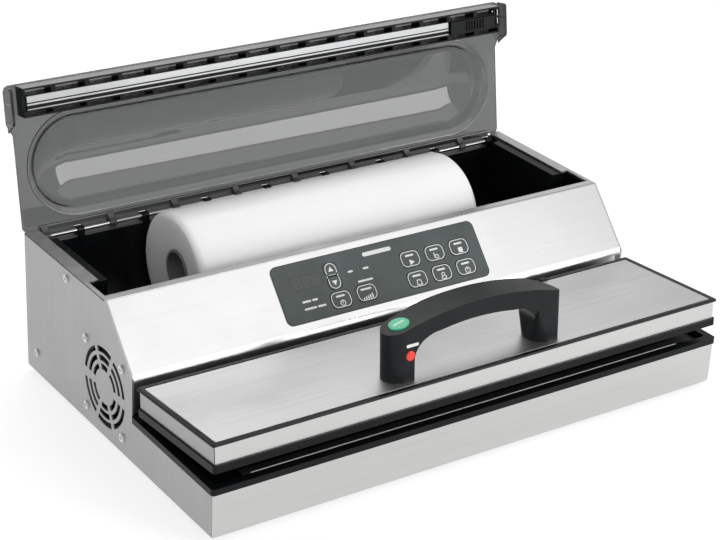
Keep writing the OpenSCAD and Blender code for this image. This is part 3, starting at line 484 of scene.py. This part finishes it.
def body_pieces():
    for node in ("left_side_panel", "right_side_panel", "rear_panel", "bottom_plate"):
        refine(node, 0.35)
    refine("front_panel", 0.4, material=steel_front)
    slope_panel()
    for node in ("rubber_feet", "display_module", "control_board", "key_switches", "lower_gasket",
                 "seal_bar", "ptfe_tape", "lid_hinge_brackets", "lid_hinge_pins", "lid_hinge_springs",
                 "lid_switch", "vacuum_pump", "pump_motor", "vacuum_hose", "solenoid_valve",
                 "transformer", "fan_frame", "power_inlet", "fan_rotor"):
        refine(node, 0.2)
    refine("cover_hinge_rod", 0.2, material=hinge_steel)
    for node in ("casing_screws", "fan_screws"):
        refine(node, 0.3, 3)
    refine("film_bin", 0.4, 3)
    low, high = size_in("deck_tray", BODY)
    top = high.z

    def on_rim(p):
        return p.z > top - 0.05 or (p.z < 38 and (p.y < low.y + 0.2 or abs(p.x) > high.x - 0.2))

    refine("deck_tray", 0.25, 2, [(on_rim, 1.3)])
    # painted shade: a dark strip along the top bend of each side panel, where the sheet is folded and has no seam
    for side, name in ((-1, "left"), (1, "right")):
        detail("fold_shade_line_" + name, "base", "black_plastic", seam_and_shade_dark,
               lambda bm: add_prism(bm, rectangle(side * HALF_W, 243.5, 0.5, 144), 123.0, 123.75, BODY))
    detail("rear_ledge_trim", "base", "black_plastic", strip_plastic,
           lambda bm: add_prism(bm, rectangle(0, 311.4, 2 * INNER_X - 1, 8.6), 115.02, 115.3, BODY))
    # painted light: a thin sheet of the lighter flange copy over the left side panel's top flange
    detail("flange_face_left", "base", "steel_panels", flange_steel_lit_copy,
           lambda bm: add_prism(bm, [(-249.4, 207), (-237.2, 207), (-237.2, 315.4), (-249.4, 315.4)], 123.2,
                                124.05, BODY))
    detail("hinge_blocks", "base", "black_plastic", None, hinge_blocks)
    # painted highlight: a matte white strip stands for the glint along the seal bar's front edge
    detail("seal_bar_edge_highlight", "base", "seal_bar", print_ink_and_highlight,
           lambda bm: add_prism(bm, rectangle(0, 7.62, 426, 0.5), 42.1, 42.75, BODY))


def hinge_blocks(bm):
    """Fillers behind the bin's knuckles and at both ends of the hinge."""
    for x in BIN_KNUCKLES:
        add_slab(bm, rectangle(x, 314.7, 6.8, 2.4), 115, 120.7, 0.3, BODY)
    for side in (-1, 1):
        add_slab(bm, rectangle(side * 242.6, 311, 11, 9.6), 114.6, 122.0, 0.5, BODY)


def slope_panel():
    """Folded sheet with rounded bends, open behind the keys and the display."""
    turn = math.pi / 2 - slope_angle
    foot_r, head_r = 10, 1.6
    foot_low = SLOPE_FOOT[1] - foot_r * math.tan(turn / 2)
    foot = arc(SLOPE_FOOT[0] + foot_r, foot_low, foot_r, 180, 180 - math.degrees(turn), 10)
    head_y = SLOPE_HEAD[0] + head_r * math.tan(slope_angle / 2)
    head = arc(head_y, SLOPE_HEAD[1] - head_r, head_r, 90 + math.degrees(slope_angle), 90, 6)
    window = [(SLOPE_FOOT[0] + u * math.cos(slope_angle), SLOPE_FOOT[1] + u * math.sin(slope_angle))
              for u in (11.5, 54)]
    outer = [(SLOPE_FOOT[0], 44)] + foot + window + head + [(178, SLOPE_HEAD[1])]
    low_edge = 1 + len(foot)            # the window's lower edge among the outer points
    inner = []
    for i, (y, z) in enumerate(outer):
        before = outer[max(0, i - 1)]
        after = outer[min(len(outer) - 1, i + 1)]
        way = Vector((after[0] - before[0], after[1] - before[1])).normalized()
        inner.append((y + way.y * SHEET, z - way.x * SHEET))
    loop = outer + list(reversed(inner))
    count = len(loop)
    stations = [-INNER_X, -97, 96, INNER_X]
    bm = bmesh.new()
    rings = [[bm.verts.new(BODY @ Vector((x, y, z))) for y, z in loop] for x in stations]
    holes = (low_edge, count - 2 - low_edge)
    for span, (one, two) in enumerate(zip(rings, rings[1:])):
        for i in range(count):
            j = (i + 1) % count
            if not (span == 1 and i in holes):
                bm.faces.new((one[i], two[i], two[j], one[j]))
    for i in (low_edge, low_edge + 1):
        bm.faces.new((rings[1][i], rings[2][i], rings[2][count - 1 - i], rings[1][count - 1 - i]))
    for ring in (rings[1], rings[2]):
        bm.faces.new((ring[low_edge], ring[low_edge + 1],
                      ring[count - 2 - low_edge], ring[count - 1 - low_edge]))
    bm.faces.new(rings[0])
    bm.faces.new(list(reversed(rings[3])))
    finish_piece("slope_panel_form", bm, "base", "steel_panels", steel_slope, ("slope_panel",))
    # painted shade: a dark strip along the slope panel's upper bend
    detail("slope_fold_shade_line", "base", "steel_panels", seam_and_shade_dark,
           lambda bm: add_prism(bm, rectangle(0, head_y + 0.4, 2 * INNER_X - 1, 0.5), SLOPE_HEAD[1] - 0.1,
                                SLOPE_HEAD[1] + 0.03, BODY))


# ---- Control panel ----------------------------------------------------------------------------------

PRINT_Z = 0.79                          # prints start just inside the overlay's face
KEY_FACE_Z = 1.03                       # prints on a key start just inside its face
PRINT_T = 0.05
ICON_SIZE = 1.22                        # enlarges the icons and their outlines
OVERLAY_SLOT = "overlay"
CAPSULE_AT = (-47.7, 41.0)              # middle of the capsule drawn round the two arrow keys
CAPSULE_FEET = ((5.5, -3.8), (4.8, -4.4))   # half width and foot of its outer and inner line, inside the cap


def printed(bm, outline, z):
    """Thin print on the control panel or a key."""
    add_prism(bm, outline, z, z + PRINT_T, SLOPE)


def panel_pieces():
    refine("panel_overlay", 0.2, space=SLOPE)
    refine("display_window", 0.1, 1, space=SLOPE)
    labels = ((-30.0, 41.1, 5), (-14.5, 40.9, 5.6), (-18.8, 30.8, 15))
    pairs = ((-76.1, 25.3, 15), (-73.2, 19.0, 21))

    def words(bm):
        for x, u, width in labels:
            printed(bm, pill(x, u, width, 1.7), PRINT_Z)
        for x, u, width in pairs:
            first = width * 0.56
            printed(bm, pill(x - (width - first) / 2, u, first, 1.8), PRINT_Z)
            printed(bm, pill(x + first / 2 + 0.6, u, width - first - 1.2, 1.8), PRINT_Z)
        printed(bm, pill(1.2, 52.4, 29, 3.6), PRINT_Z)
        for side in (-1, 1):
            waist = [(CAPSULE_AT[0] + side * r, CAPSULE_AT[1] + half)
                     for r, half in ((5.5, -1.2), (5.5, 1.2), (4.8, 0.65), (4.8, -0.65))]
            printed(bm, waist, PRINT_Z)

    edge = round_rect(-102.8, 8.2, 103.8, 59.8, 5.8, 8)
    # painted shade: a dark line round the overlay's edge stands for the shade of its thickness
    detail("overlay_edge_shade", "base", OVERLAY_SLOT, seam_and_shade_dark,
           lambda bm: add_band(bm, edge, inset(edge, 0.4), PRINT_Z - 0.05, PRINT_Z + 0.03, SLOPE))
    detail("overlay_labels", "base", OVERLAY_SLOT, print_ink_and_highlight, words)
    detail("display_digits", "base", "display", digit_ink, digits)
    for node in [n for n in frame["nodes"] if n.startswith("key_") and n != "key_switches"]:
        refine(node, 0.12, 2, space=SLOPE)
        key_print(node)


def digits(bm):
    """Three seven-segment figures, all segments drawn."""
    long, thick, z0 = 3.6, 0.8, 0.77
    for x in (-82.2, -73.6, -65.0):
        for du, w, h in ((4.2, long, thick), (0, long, thick), (-4.2, long, thick)):
            printed(bm, rectangle(x, 41.4 + du, w, h), z0)
        for dx in (-2.3, 2.3):
            for du in (-2.1, 2.1):
                printed(bm, rectangle(x + dx, 41.4 + du, thick, long - 0.4), z0)


def key_print(node):
    low, high = size_in(node, SLOPE)
    cx, cu = (low.x + high.x) / 2, (low.y + high.y) / 2
    half_x, half_u = (high.x - low.x) / 2, (high.y - low.y) / 2
    small = half_u < 6.5

    def build(bm):
        def placed(outline, size=1.0):
            return [(cx + mid[0] + (x - mid[0]) * size, cu + mid[1] + (u - mid[1]) * size)
                    for x, u in outline]

        def solid(outline):
            printed(bm, placed(outline, ICON_SIZE), KEY_FACE_Z)

        def band(outer, inner):
            add_band(bm, placed(outer, ICON_SIZE), placed(inner, ICON_SIZE), KEY_FACE_Z,
                     KEY_FACE_Z + PRINT_T, SLOPE)

        mid = (0, 0) if small else (0.5, -2.6)
        if small:
            way = 1 if node == "key_up" else -1
            outer, inner = ([(r, foot)] + arc(0, -0.15, r, 0, 180, 20) + [(-r, foot)]
                            for r, foot in CAPSULE_FEET)
            half = [(x * way, u * way) for x, u in outer + list(reversed(inner))]
            printed(bm, placed(half), KEY_FACE_Z)
            if way > 0:
                printed(bm, placed(rectangle(0, -5.0, 6.8, 0.4)), KEY_FACE_Z)
        else:
            edge = round_rect(-half_x + 0.25, -half_u + 0.25, half_x - 0.25, half_u - 0.25, 5.0, 8)
            add_band(bm, placed(edge), placed(inset(edge, 0.7)), KEY_FACE_Z, KEY_FACE_Z + PRINT_T, SLOPE)
        if not small:
            caption_w = 11 if "level" in node else 8.6
            printed(bm, placed(pill(0.0, 3.1, caption_w, 1.7)), KEY_FACE_Z)
        icon(node, solid, band)

    detail(node + "_print", body_of_node[node], slot_of[node], print_ink_and_highlight, build)


def icon(node, solid, band):
    """A plain pictogram on each key."""
    if node == "key_up":
        solid([(-2.1, -1.6), (2.1, -1.6), (0, 2.0)])
    elif node == "key_down":
        solid([(-2.1, 1.6), (0, -2.0), (2.1, 1.6)])
    elif node == "key_start":
        solid([(-1.2, -5.2), (2.8, -3.0), (-1.2, -0.8)])
    elif node == "key_stop":
        solid(rectangle(0.6, -2.9, 3.8, 3.8))
    elif node == "key_pulse":
        band(disc(0.9, -3.4, 1.7), disc(0.9, -3.4, 1.0))
        solid(rectangle(-0.9, -2.2, 0.7, 3.8))
    elif node == "key_seal":
        band([(-1.9, -5.0), (2.9, -5.0), (2.1, -1.0), (-1.1, -1.0)],
             [(-1.1, -4.4), (2.1, -4.4), (1.6, -1.6), (-0.6, -1.6)])
    elif node == "key_marinate":
        band(round_rect(-1.6, -5.2, 2.8, -2.6, 1.0, 3), round_rect(-1.0, -4.6, 2.2, -3.2, 0.5, 3))
        band(disc(0.6, -1.6, 1.5), disc(0.6, -1.6, 0.9))
    elif node == "key_power":
        edge = round_rect(-1.7, -5.2, 2.7, -1.0, 1.4, 4)
        band(edge, inset(edge, 0.65))
        solid(rectangle(0.5, -1.9, 0.7, 2.4))
    elif node == "key_set":
        band(disc(0.5, -3.1, 2.2), disc(0.5, -3.1, 1.55))
        solid(rectangle(0.5, -2.5, 0.6, 1.8))
    elif node == "key_vacuum_level":
        for i in range(5):
            height = 1.4 + 0.5 * i
            solid(rectangle(-3.6 + 1.8 * i, -5.2 + height / 2, 1.1, height))


# ---- Lid --------------------------------------------------------------------------------------------

def lid_pieces():
    bm = bmesh.new()
    outer = round_rect(-HALF_W, 0, HALF_W, LID_DEPTH, 2.4)
    inner = round_rect(-245, 5, 245, LID_DEPTH - 5, 0.6)
    add_frame(bm, outer, inner, LID_TOP - 2.4, LID_TOP, 1.15, LID, 5)
    shelf = round_rect(-245.05, 4.95, 245.05, LID_DEPTH - 4.95, 0.6)
    add_band(bm, shelf, inset(shelf, 4), LID_TOP - 2.4, LID_TOP - 1.6, LID)
    finish_piece("lid_top_rim_form", bm, "seal_lid", slot_of["lid_top_rim"], rim_plastic, ("lid_top_rim",))
    bm = bmesh.new()
    skin = round_rect(-244.9, 5.1, 244.9, LID_DEPTH - 5.1, 0.8)
    add_slab(bm, skin, LID_TOP - 1.5, LID_TOP - 0.3, 0.25, LID)
    finish_piece("lid_skin_form", bm, "seal_lid", slot_of["lid_skin"], None, ("lid_skin",))
    refine("lid_band", 0.25, material=band_steel_shaded_end())
    frame_low, frame_high = size_in("lid_frame", LID)

    def on_skirt(p):
        return (p.z < frame_low.z + 6.4 and (p.y < 1 or abs(p.x) > frame_high.x - 0.5))

    refine("lid_frame", 0.25, 2, [(on_skirt, 1.0)], LID)
    refine("handle", 0.0, 2, [(lambda p: True, 1.2)], LID, MATERIALS["charcoal_plastic"])
    for node in ("upper_gasket", "silicone_strip", "handle_screws", "start_button", "seal_button"):
        refine(node, 0.25, space=LID)
    detail("band_corner_seam", "seal_lid", "black_plastic", seam_and_shade_dark,
           lambda bm: add_prism(bm, rectangle(-247.55, 2.45, 0.46, 0.46), 53.7, 68.6, LID))
    detail("start_button_print", body_of_node["start_button"], slot_of["start_button"], pale_green,
           lambda bm: add_prism(bm, pill(0, 0, 10.5, 2.6), 1.37, 1.45, BUTTON))
    detail("lid_rear_clip", "seal_lid", "black_plastic", None,
           lambda bm: add_slab(bm, rectangle(152, 116.6, 7, 4.4), LID_TOP - 0.3, LID_TOP + 1.3, 0.4, LID))
    detail("seal_label", "seal_lid", slot_of["handle"], print_ink_and_highlight,
           lambda bm: add_prism(bm, pill(-63.6, 30.2, 11.5, 2.6), -0.03, 0.05, HANDLE_FACE))


# ---- Cover ------------------------------------------------------------------------------------------

PLATE_LOW, PLATE_HIGH = 126, 129        # faces of the flat part, in the shut position
FREE_EDGE, HINGE_EDGE = 179.1, 305.5
DOME = (0, 253.5, 236, 41.3)            # centre and half sizes of the dome's rim
DOME_RISE = 21
DOME_WALL = 2.4
EAR_X = 255
RAIL_LOW = 112
RAIL_X = 244                            # half length of the rail
TRACK_X0, TRACK_X1 = -241, 186
HINGE_HALF_X = 236.5
BIN_KNUCKLES = [-201.5 + 62 * i for i in range(8)]


def dome_profile():
    """Inset from the rim and height over the plate: rolled edge, steep wall, long shallow crown."""
    crown = 9 / 34.3 ** 2

    def height(d):
        return DOME_RISE - crown * (DOME[3] - d) ** 2

    points = bezier((-2.6, 0), (0, 0), (1, 2.8), 6) + bezier((2.5, 7), (3.75, 10.5), (10, height(10)), 8)
    steps = 10
    roof = (10 + (DOME[3] - 1 - 10) * i / steps for i in range(1, steps + 1))
    return points + [(d, height(d)) for d in roof]


def dome_rings():
    """Outer and inner rings of the dome, from the plate to the crown."""
    profile = dome_profile()
    outside, inside = [], [(d, PLATE_LOW + z) for d, z in ((-5.5, 0), (-5, -0.6), (-4, -0.8), (-3, -0.4))]
    for i, (d, h) in enumerate(profile):
        before, after = profile[max(0, i - 1)], profile[min(len(profile) - 1, i + 1)]
        way = Vector((after[0] - before[0], after[1] - before[1])).normalized()
        wall = (PLATE_HIGH - PLATE_LOW) if i == 0 else DOME_WALL
        if i == 0:
            way = Vector((1, 0))
        outside.append((d, PLATE_HIGH + h))
        inside.append((d + way.y * wall, PLATE_HIGH + h - way.x * wall))

    def ring(d, z):
        return ring_of(stadium(DOME[0], DOME[1], DOME[2] - d, max(0.6, DOME[3] - d), 28, 40), z)

    return [ring(d, z) for d, z in outside], [ring(d, z) for d, z in inside]


def plate_outline():
    tail_y0, tail_y1 = FREE_EDGE + 33, FREE_EDGE + 43
    right = (arc(EAR_X - 6, FREE_EDGE + 6, 6, -90, 0, 8) + [(EAR_X, tail_y0), (HALF_W, tail_y1)]
             + arc(HALF_W - 4, HINGE_EDGE - 4, 4, 0, 90, 6))
    left = [(-x, y) for x, y in reversed(right)]
    return right + left


def add_walls(bm, rings, space, flip=False):
    made = [[bm.verts.new(space @ p) for p in ring] for ring in rings]
    for one, two in zip(made, made[1:]):
        for i in range(len(one)):
            j = (i + 1) % len(one)
            bm.faces.new((one[i], one[j], two[j], two[i]) if not flip else (one[i], two[i], two[j], one[j]))
    return made


def cover_shell():
    bm = bmesh.new()
    outside, inside = dome_rings()
    outer = add_walls(bm, outside, COVER)
    inner = add_walls(bm, inside, COVER, True)
    bm.faces.new(outer[-1])
    bm.faces.new(list(reversed(inner[-1])))
    outline = plate_outline()
    edge = rounding(0.7, 4)
    rim = ([ring_of(inset(outline, d), PLATE_LOW + drop) for d, drop in edge]
           + [ring_of(inset(outline, d), PLATE_HIGH - drop) for d, drop in reversed(edge)])
    plate = add_walls(bm, rim, COVER)
    for rim_ring, dome_ring in ((plate[0], inner[0]), (plate[-1], outer[0])):
        loops = []
        for ring in (rim_ring, dome_ring):
            loops += [bm.edges.get((ring[i], ring[i - 1])) for i in range(len(ring))]
        bmesh.ops.triangle_fill(bm, use_beauty=True, edges=loops)
    finish_piece("cover_shell_form", bm, "storage_cover", "smoke_plastic", None, ("cover_shell",))


def skirt(bm, side):
    """Wall under an ear, which covers the end of the rail when the cover is shut."""
    profile = [(FREE_EDGE + 0.4, PLATE_LOW - 0.02), (FREE_EDGE + 0.4, 115.5)]
    profile += arc(FREE_EDGE + 3, 115.6, 2.6, 180, 270, 5)
    profile += arc(FREE_EDGE + 28, 117, 4, 270, 330, 4) + [(FREE_EDGE + 39.5, PLATE_LOW - 0.02)]
    x0, x1 = (252.6, 254.9) if side > 0 else (-254.9, -252.6)
    rings = []
    for x, d in ((x0, 0.5), (x0 + 0.5, 0), (x1 - 0.5, 0), (x1, 0.5)):
        ring = []
        for y, z in inset(profile, d):
            ring.append(Vector((x, y, z)))
        rings.append(ring)
    add_loft(bm, rings, COVER)


def cover_pieces():
    cover_shell()
    refine("cover_hinge_strip", 0.25, material=strip_plastic)
    detail("hinge_leaf", "storage_cover", "black_plastic", strip_plastic, hinge_leaf)
    detail("hinge_leaf_line", "storage_cover", "black_plastic", rail_edge,
           lambda bm: add_prism(bm, rectangle(0, 302.0, 2 * HINGE_HALF_X, 0.7), 123.1, 123.4, COVER))
    refine("cutter_rail", 0.3, 2)
    for side, name in ((-1, "left"), (1, "right")):
        # painted shade: the skirts take the darker smoke copy
        detail("ear_skirt_" + name, "storage_cover", "smoke_plastic", smoke_shaded_copy, lambda bm: skirt(bm, side))
        detail("ear_ribs_" + name, "storage_cover", "smoke_plastic", rail_edge,
               lambda bm: skirt_ribs(bm, side))
    detail("rail_edge_strip", "storage_cover", "black_plastic", rail_edge,
           lambda bm: add_prism(bm, rectangle(0, 180.3, 2 * RAIL_X, 0.4), RAIL_LOW + 0.5, 125.4, COVER))
    track()
    carriage()
    refine("cutter_blade", 0.1, 2)
    end_bracket()


def hinge_leaf(bm):
    """Leaf from the strip down to the rod, open where the bin's knuckles stand."""
    profile = [(305.5, 123.6), (309.0, 121.5), (310.2, 121.9), (307.0, 125.9), (305.5, 125.9)]
    ends = [-HINGE_HALF_X] + [x + s * 3.6 for x in BIN_KNUCKLES for s in (-1, 1)]
    for x0, x1 in zip(ends[::2], ends[1::2]):
        add_loft(bm, [[Vector((x, y, z)) for y, z in profile] for x in (x0, x1)], COVER)


def skirt_ribs(bm, side):
    """Two faint ribs up the outside of a skirt."""
    for y in (193, 211):
        add_prism(bm, rectangle(side * 254.9, y, 0.16, 0.5), 114.2, 125.6, COVER)


def track():
    """Aluminium bar with the blade's slot and a thin lip, on a black web."""
    bm = bmesh.new()
    for y0, y1, low in ((187.5, 193.0, 112.8), (193.9, 195.5, 112.8), (198.3, 199.3, 112.7)):
        add_slab(bm, rectangle((TRACK_X0 + TRACK_X1) / 2, (y0 + y1) / 2, TRACK_X1 - TRACK_X0, y1 - y0), low,
                 114.9, 0.2, COVER)
    finish_piece("cutter_track_form", bm, "storage_cover", "aluminium_track", None, ("cutter_track",))

    def web(bm):
        add_prism(bm, rectangle(0, 196.9, -2 * TRACK_X0, 2.7), 113.9, 114.88, COVER)
        for y, w in ((190.25, 5.4), (196.6, 5.2)):
            add_prism(bm, rectangle((TRACK_X1 - TRACK_X0) / 2, y, -TRACK_X0 - TRACK_X1, w),
                      113.3, 114.86, COVER)

    detail("cutter_track_web", "storage_cover", "black_plastic", None, web)


def carriage():
    """Sliding cutter head with a ribbed grip."""
    bm = bmesh.new()
    add_slab(bm, round_rect(187, 187.6, 237.2, 199.4, 1.2), 110.2, 112.55, 0.6, COVER)
    for i in range(7):
        add_slab(bm, rectangle(205.5 + 3.2 * i, 193.5, 1.6, 8.6), 109.2, 110.4, 0.3, COVER)
    add_prism(bm, rectangle(214, 193.45, 40, 0.56), 112.3, 115.6, COVER)
    finish_piece("cutter_carriage_form", bm, "cutter", "black_plastic", None, ("cutter_carriage",))


def end_bracket():
    """Stop of the carriage at the rail's right end, with two bright springs and its screws."""
    def stop(bm):
        frame_out = round_rect(237.9, 180.8, 244.8, 198.6, 0.8, 3)
        frame_in = round_rect(239.3, 182.2, 243.4, 197.2, 0.4, 3)
        add_band(bm, frame_out, frame_in, 111.2, 118, COVER)
        add_prism(bm, rectangle(241.35, 189.6, 4.4, 1.2), 111.4, 117, COVER)

    detail("rail_end_stop", "storage_cover", "black_plastic", None, stop)

    def springs(bm):
        for y in (185.8, 193.4):
            add_prism(bm, rectangle(242.4, y, 0.9, 5.6), 111.6, 113, COVER)
        for y in (184.3, 197.6):
            steps = ((0.9, 112.1), (0.9, 111.7), (0.5, 111.45))
            add_loft(bm, [ring_of(disc(236.6, y, r, 16), z) for r, z in steps], COVER)

    detail("rail_end_springs", "storage_cover", "aluminium_track", None, springs)


# ---- Film roll --------------------------------------------------------------------------------------

ROLL_AXIS = (253, 90.5)                 # Y and Z
ROLL_R = 52
CORE_OUT = 17.5                         # outer radius of the core


def add_lathe(bm, profile, steps, wave=0.0):
    """Closed profile of (x, radius) points turned about the roll's axis."""
    rings = []
    for i in range(steps):
        a = 2 * math.pi * i / steps
        ring = []
        for x, r in profile:
            ripple = 1 + math.sin(3 * a + x / 45) * 0.7 + math.sin(7 * a - x / 30) * 0.3
            swell = wave * (r / ROLL_R) ** 4 * ripple
            ring.append(Vector((x, ROLL_AXIS[0] + (r - swell) * math.cos(a),
                                ROLL_AXIS[1] + (r - swell) * math.sin(a))))
        rings.append(ring)
    add_loft(bm, rings, BODY, closed=True)


def roll_pieces():
    face = [(-138.6, CORE_OUT + 0.02), (-139.2, CORE_OUT + 0.5), (-139.6, CORE_OUT + 1.2), (-139.4, 22),
            (-140.0, 29), (-141.2, 36), (-142.8, 43)]
    edge = arc(-137.8, 46.0, 6.0, 168, 90, 8)
    half = face + edge + [(-125, ROLL_R)] + [(-100 + 20 * i, ROLL_R) for i in range(6)]
    profile = half + [(-x, r) for x, r in reversed(half[:-1])]
    bm = bmesh.new()
    add_lathe(bm, profile, 128, 0.35)
    finish_piece("film_wrap_form", bm, body_of_node["film_wrap"], slot_of["film_wrap"], None, ("film_wrap",))
    refine("film_core", 0.35)


# ---- Stage ------------------------------------------------------------------------------------------

def camera():
    data = bpy.data.cameras.new("camera")
    data.lens = 99.02
    data.sensor_width = 36
    data.clip_end = 60
    eye = bpy.data.objects.new("camera", data)
    bpy.context.scene.collection.objects.link(eye)
    azimuth, elevation, roll = math.radians(-35.09), math.radians(25.42), 0.0483
    right = Vector((math.cos(azimuth), math.sin(azimuth), 0))
    back = Vector((math.sin(azimuth) * math.cos(elevation), -math.cos(azimuth) * math.cos(elevation),
                   math.sin(elevation)))
    up = back.cross(right)
    level = Matrix((right, up, back)).transposed()
    eye.matrix_world = (Matrix.Translation((-0.8836, -1.25185, 0.8241))
                        @ (level @ Matrix.Rotation(roll, 3, "Z")).to_4x4())
    bpy.context.scene.camera = eye


def softbox(name, aim, direction, distance, width, height, glow):
    """A lamp of that radiance, seen from its aim in that direction."""
    data = bpy.data.lights.new(name, "AREA")
    data.shape = "RECTANGLE"
    data.size = width
    data.size_y = height
    data.energy = glow * math.pi * width * height
    lamp = bpy.data.objects.new(name, data)
    bpy.context.scene.collection.objects.link(lamp)
    way = Vector(direction).normalized()
    lamp.location = Vector(aim) + way * distance
    lamp.rotation_euler = way.to_track_quat("Z", "Y").to_euler()
    lamp.visible_camera = False


def studio():
    world = bpy.data.worlds.new("studio")
    bpy.context.scene.world = world
    world.use_nodes = True
    background = world.node_tree.nodes["Background"]
    background.inputs["Color"].default_value = (1, 1, 1, 1)
    background.inputs["Strength"].default_value = 0.62
    softbox("key", (0, 0, 0.1), (0.40, -0.56, 0.68), 2.4, 1.5, 1.3, 1.08)
    softbox("back", (0, 0, 0.1), (0.229, 0.629, 0.743), 2.4, 1.6, 1.2, 2.6)
    softbox("front", (0, 0.1, 0.2), (0.50, -0.84, 0.23), 2.6, 1.1, 1.1, 6.0)
    softbox("left", (0, 0, 0.1), (-0.80, -0.50, 0.33), 2.6, 1.0, 1.0, 1.2)
    bm = bmesh.new()
    bmesh.ops.create_grid(bm, x_segments=8, y_segments=8, size=8)
    mesh = bpy.data.meshes.new("floor")
    bm.to_mesh(mesh)
    bm.free()
    floor = bpy.data.objects.new("floor", mesh)
    bpy.context.scene.collection.objects.link(floor)
    paint = Shader("floor", (0.42, 0.42, 0.42), 0.9)
    paint.tint(paint.noise(3), 0.01)
    paint.set("Emission Color", (1, 1, 1, 1))
    paint.set("Emission Strength", 0.68)
    mesh.materials.append(paint.material)
    bpy.context.scene.view_settings.view_transform = "Standard"


camera()
body_pieces()
panel_pieces()
lid_pieces()
cover_pieces()
roll_pieces()
studio()
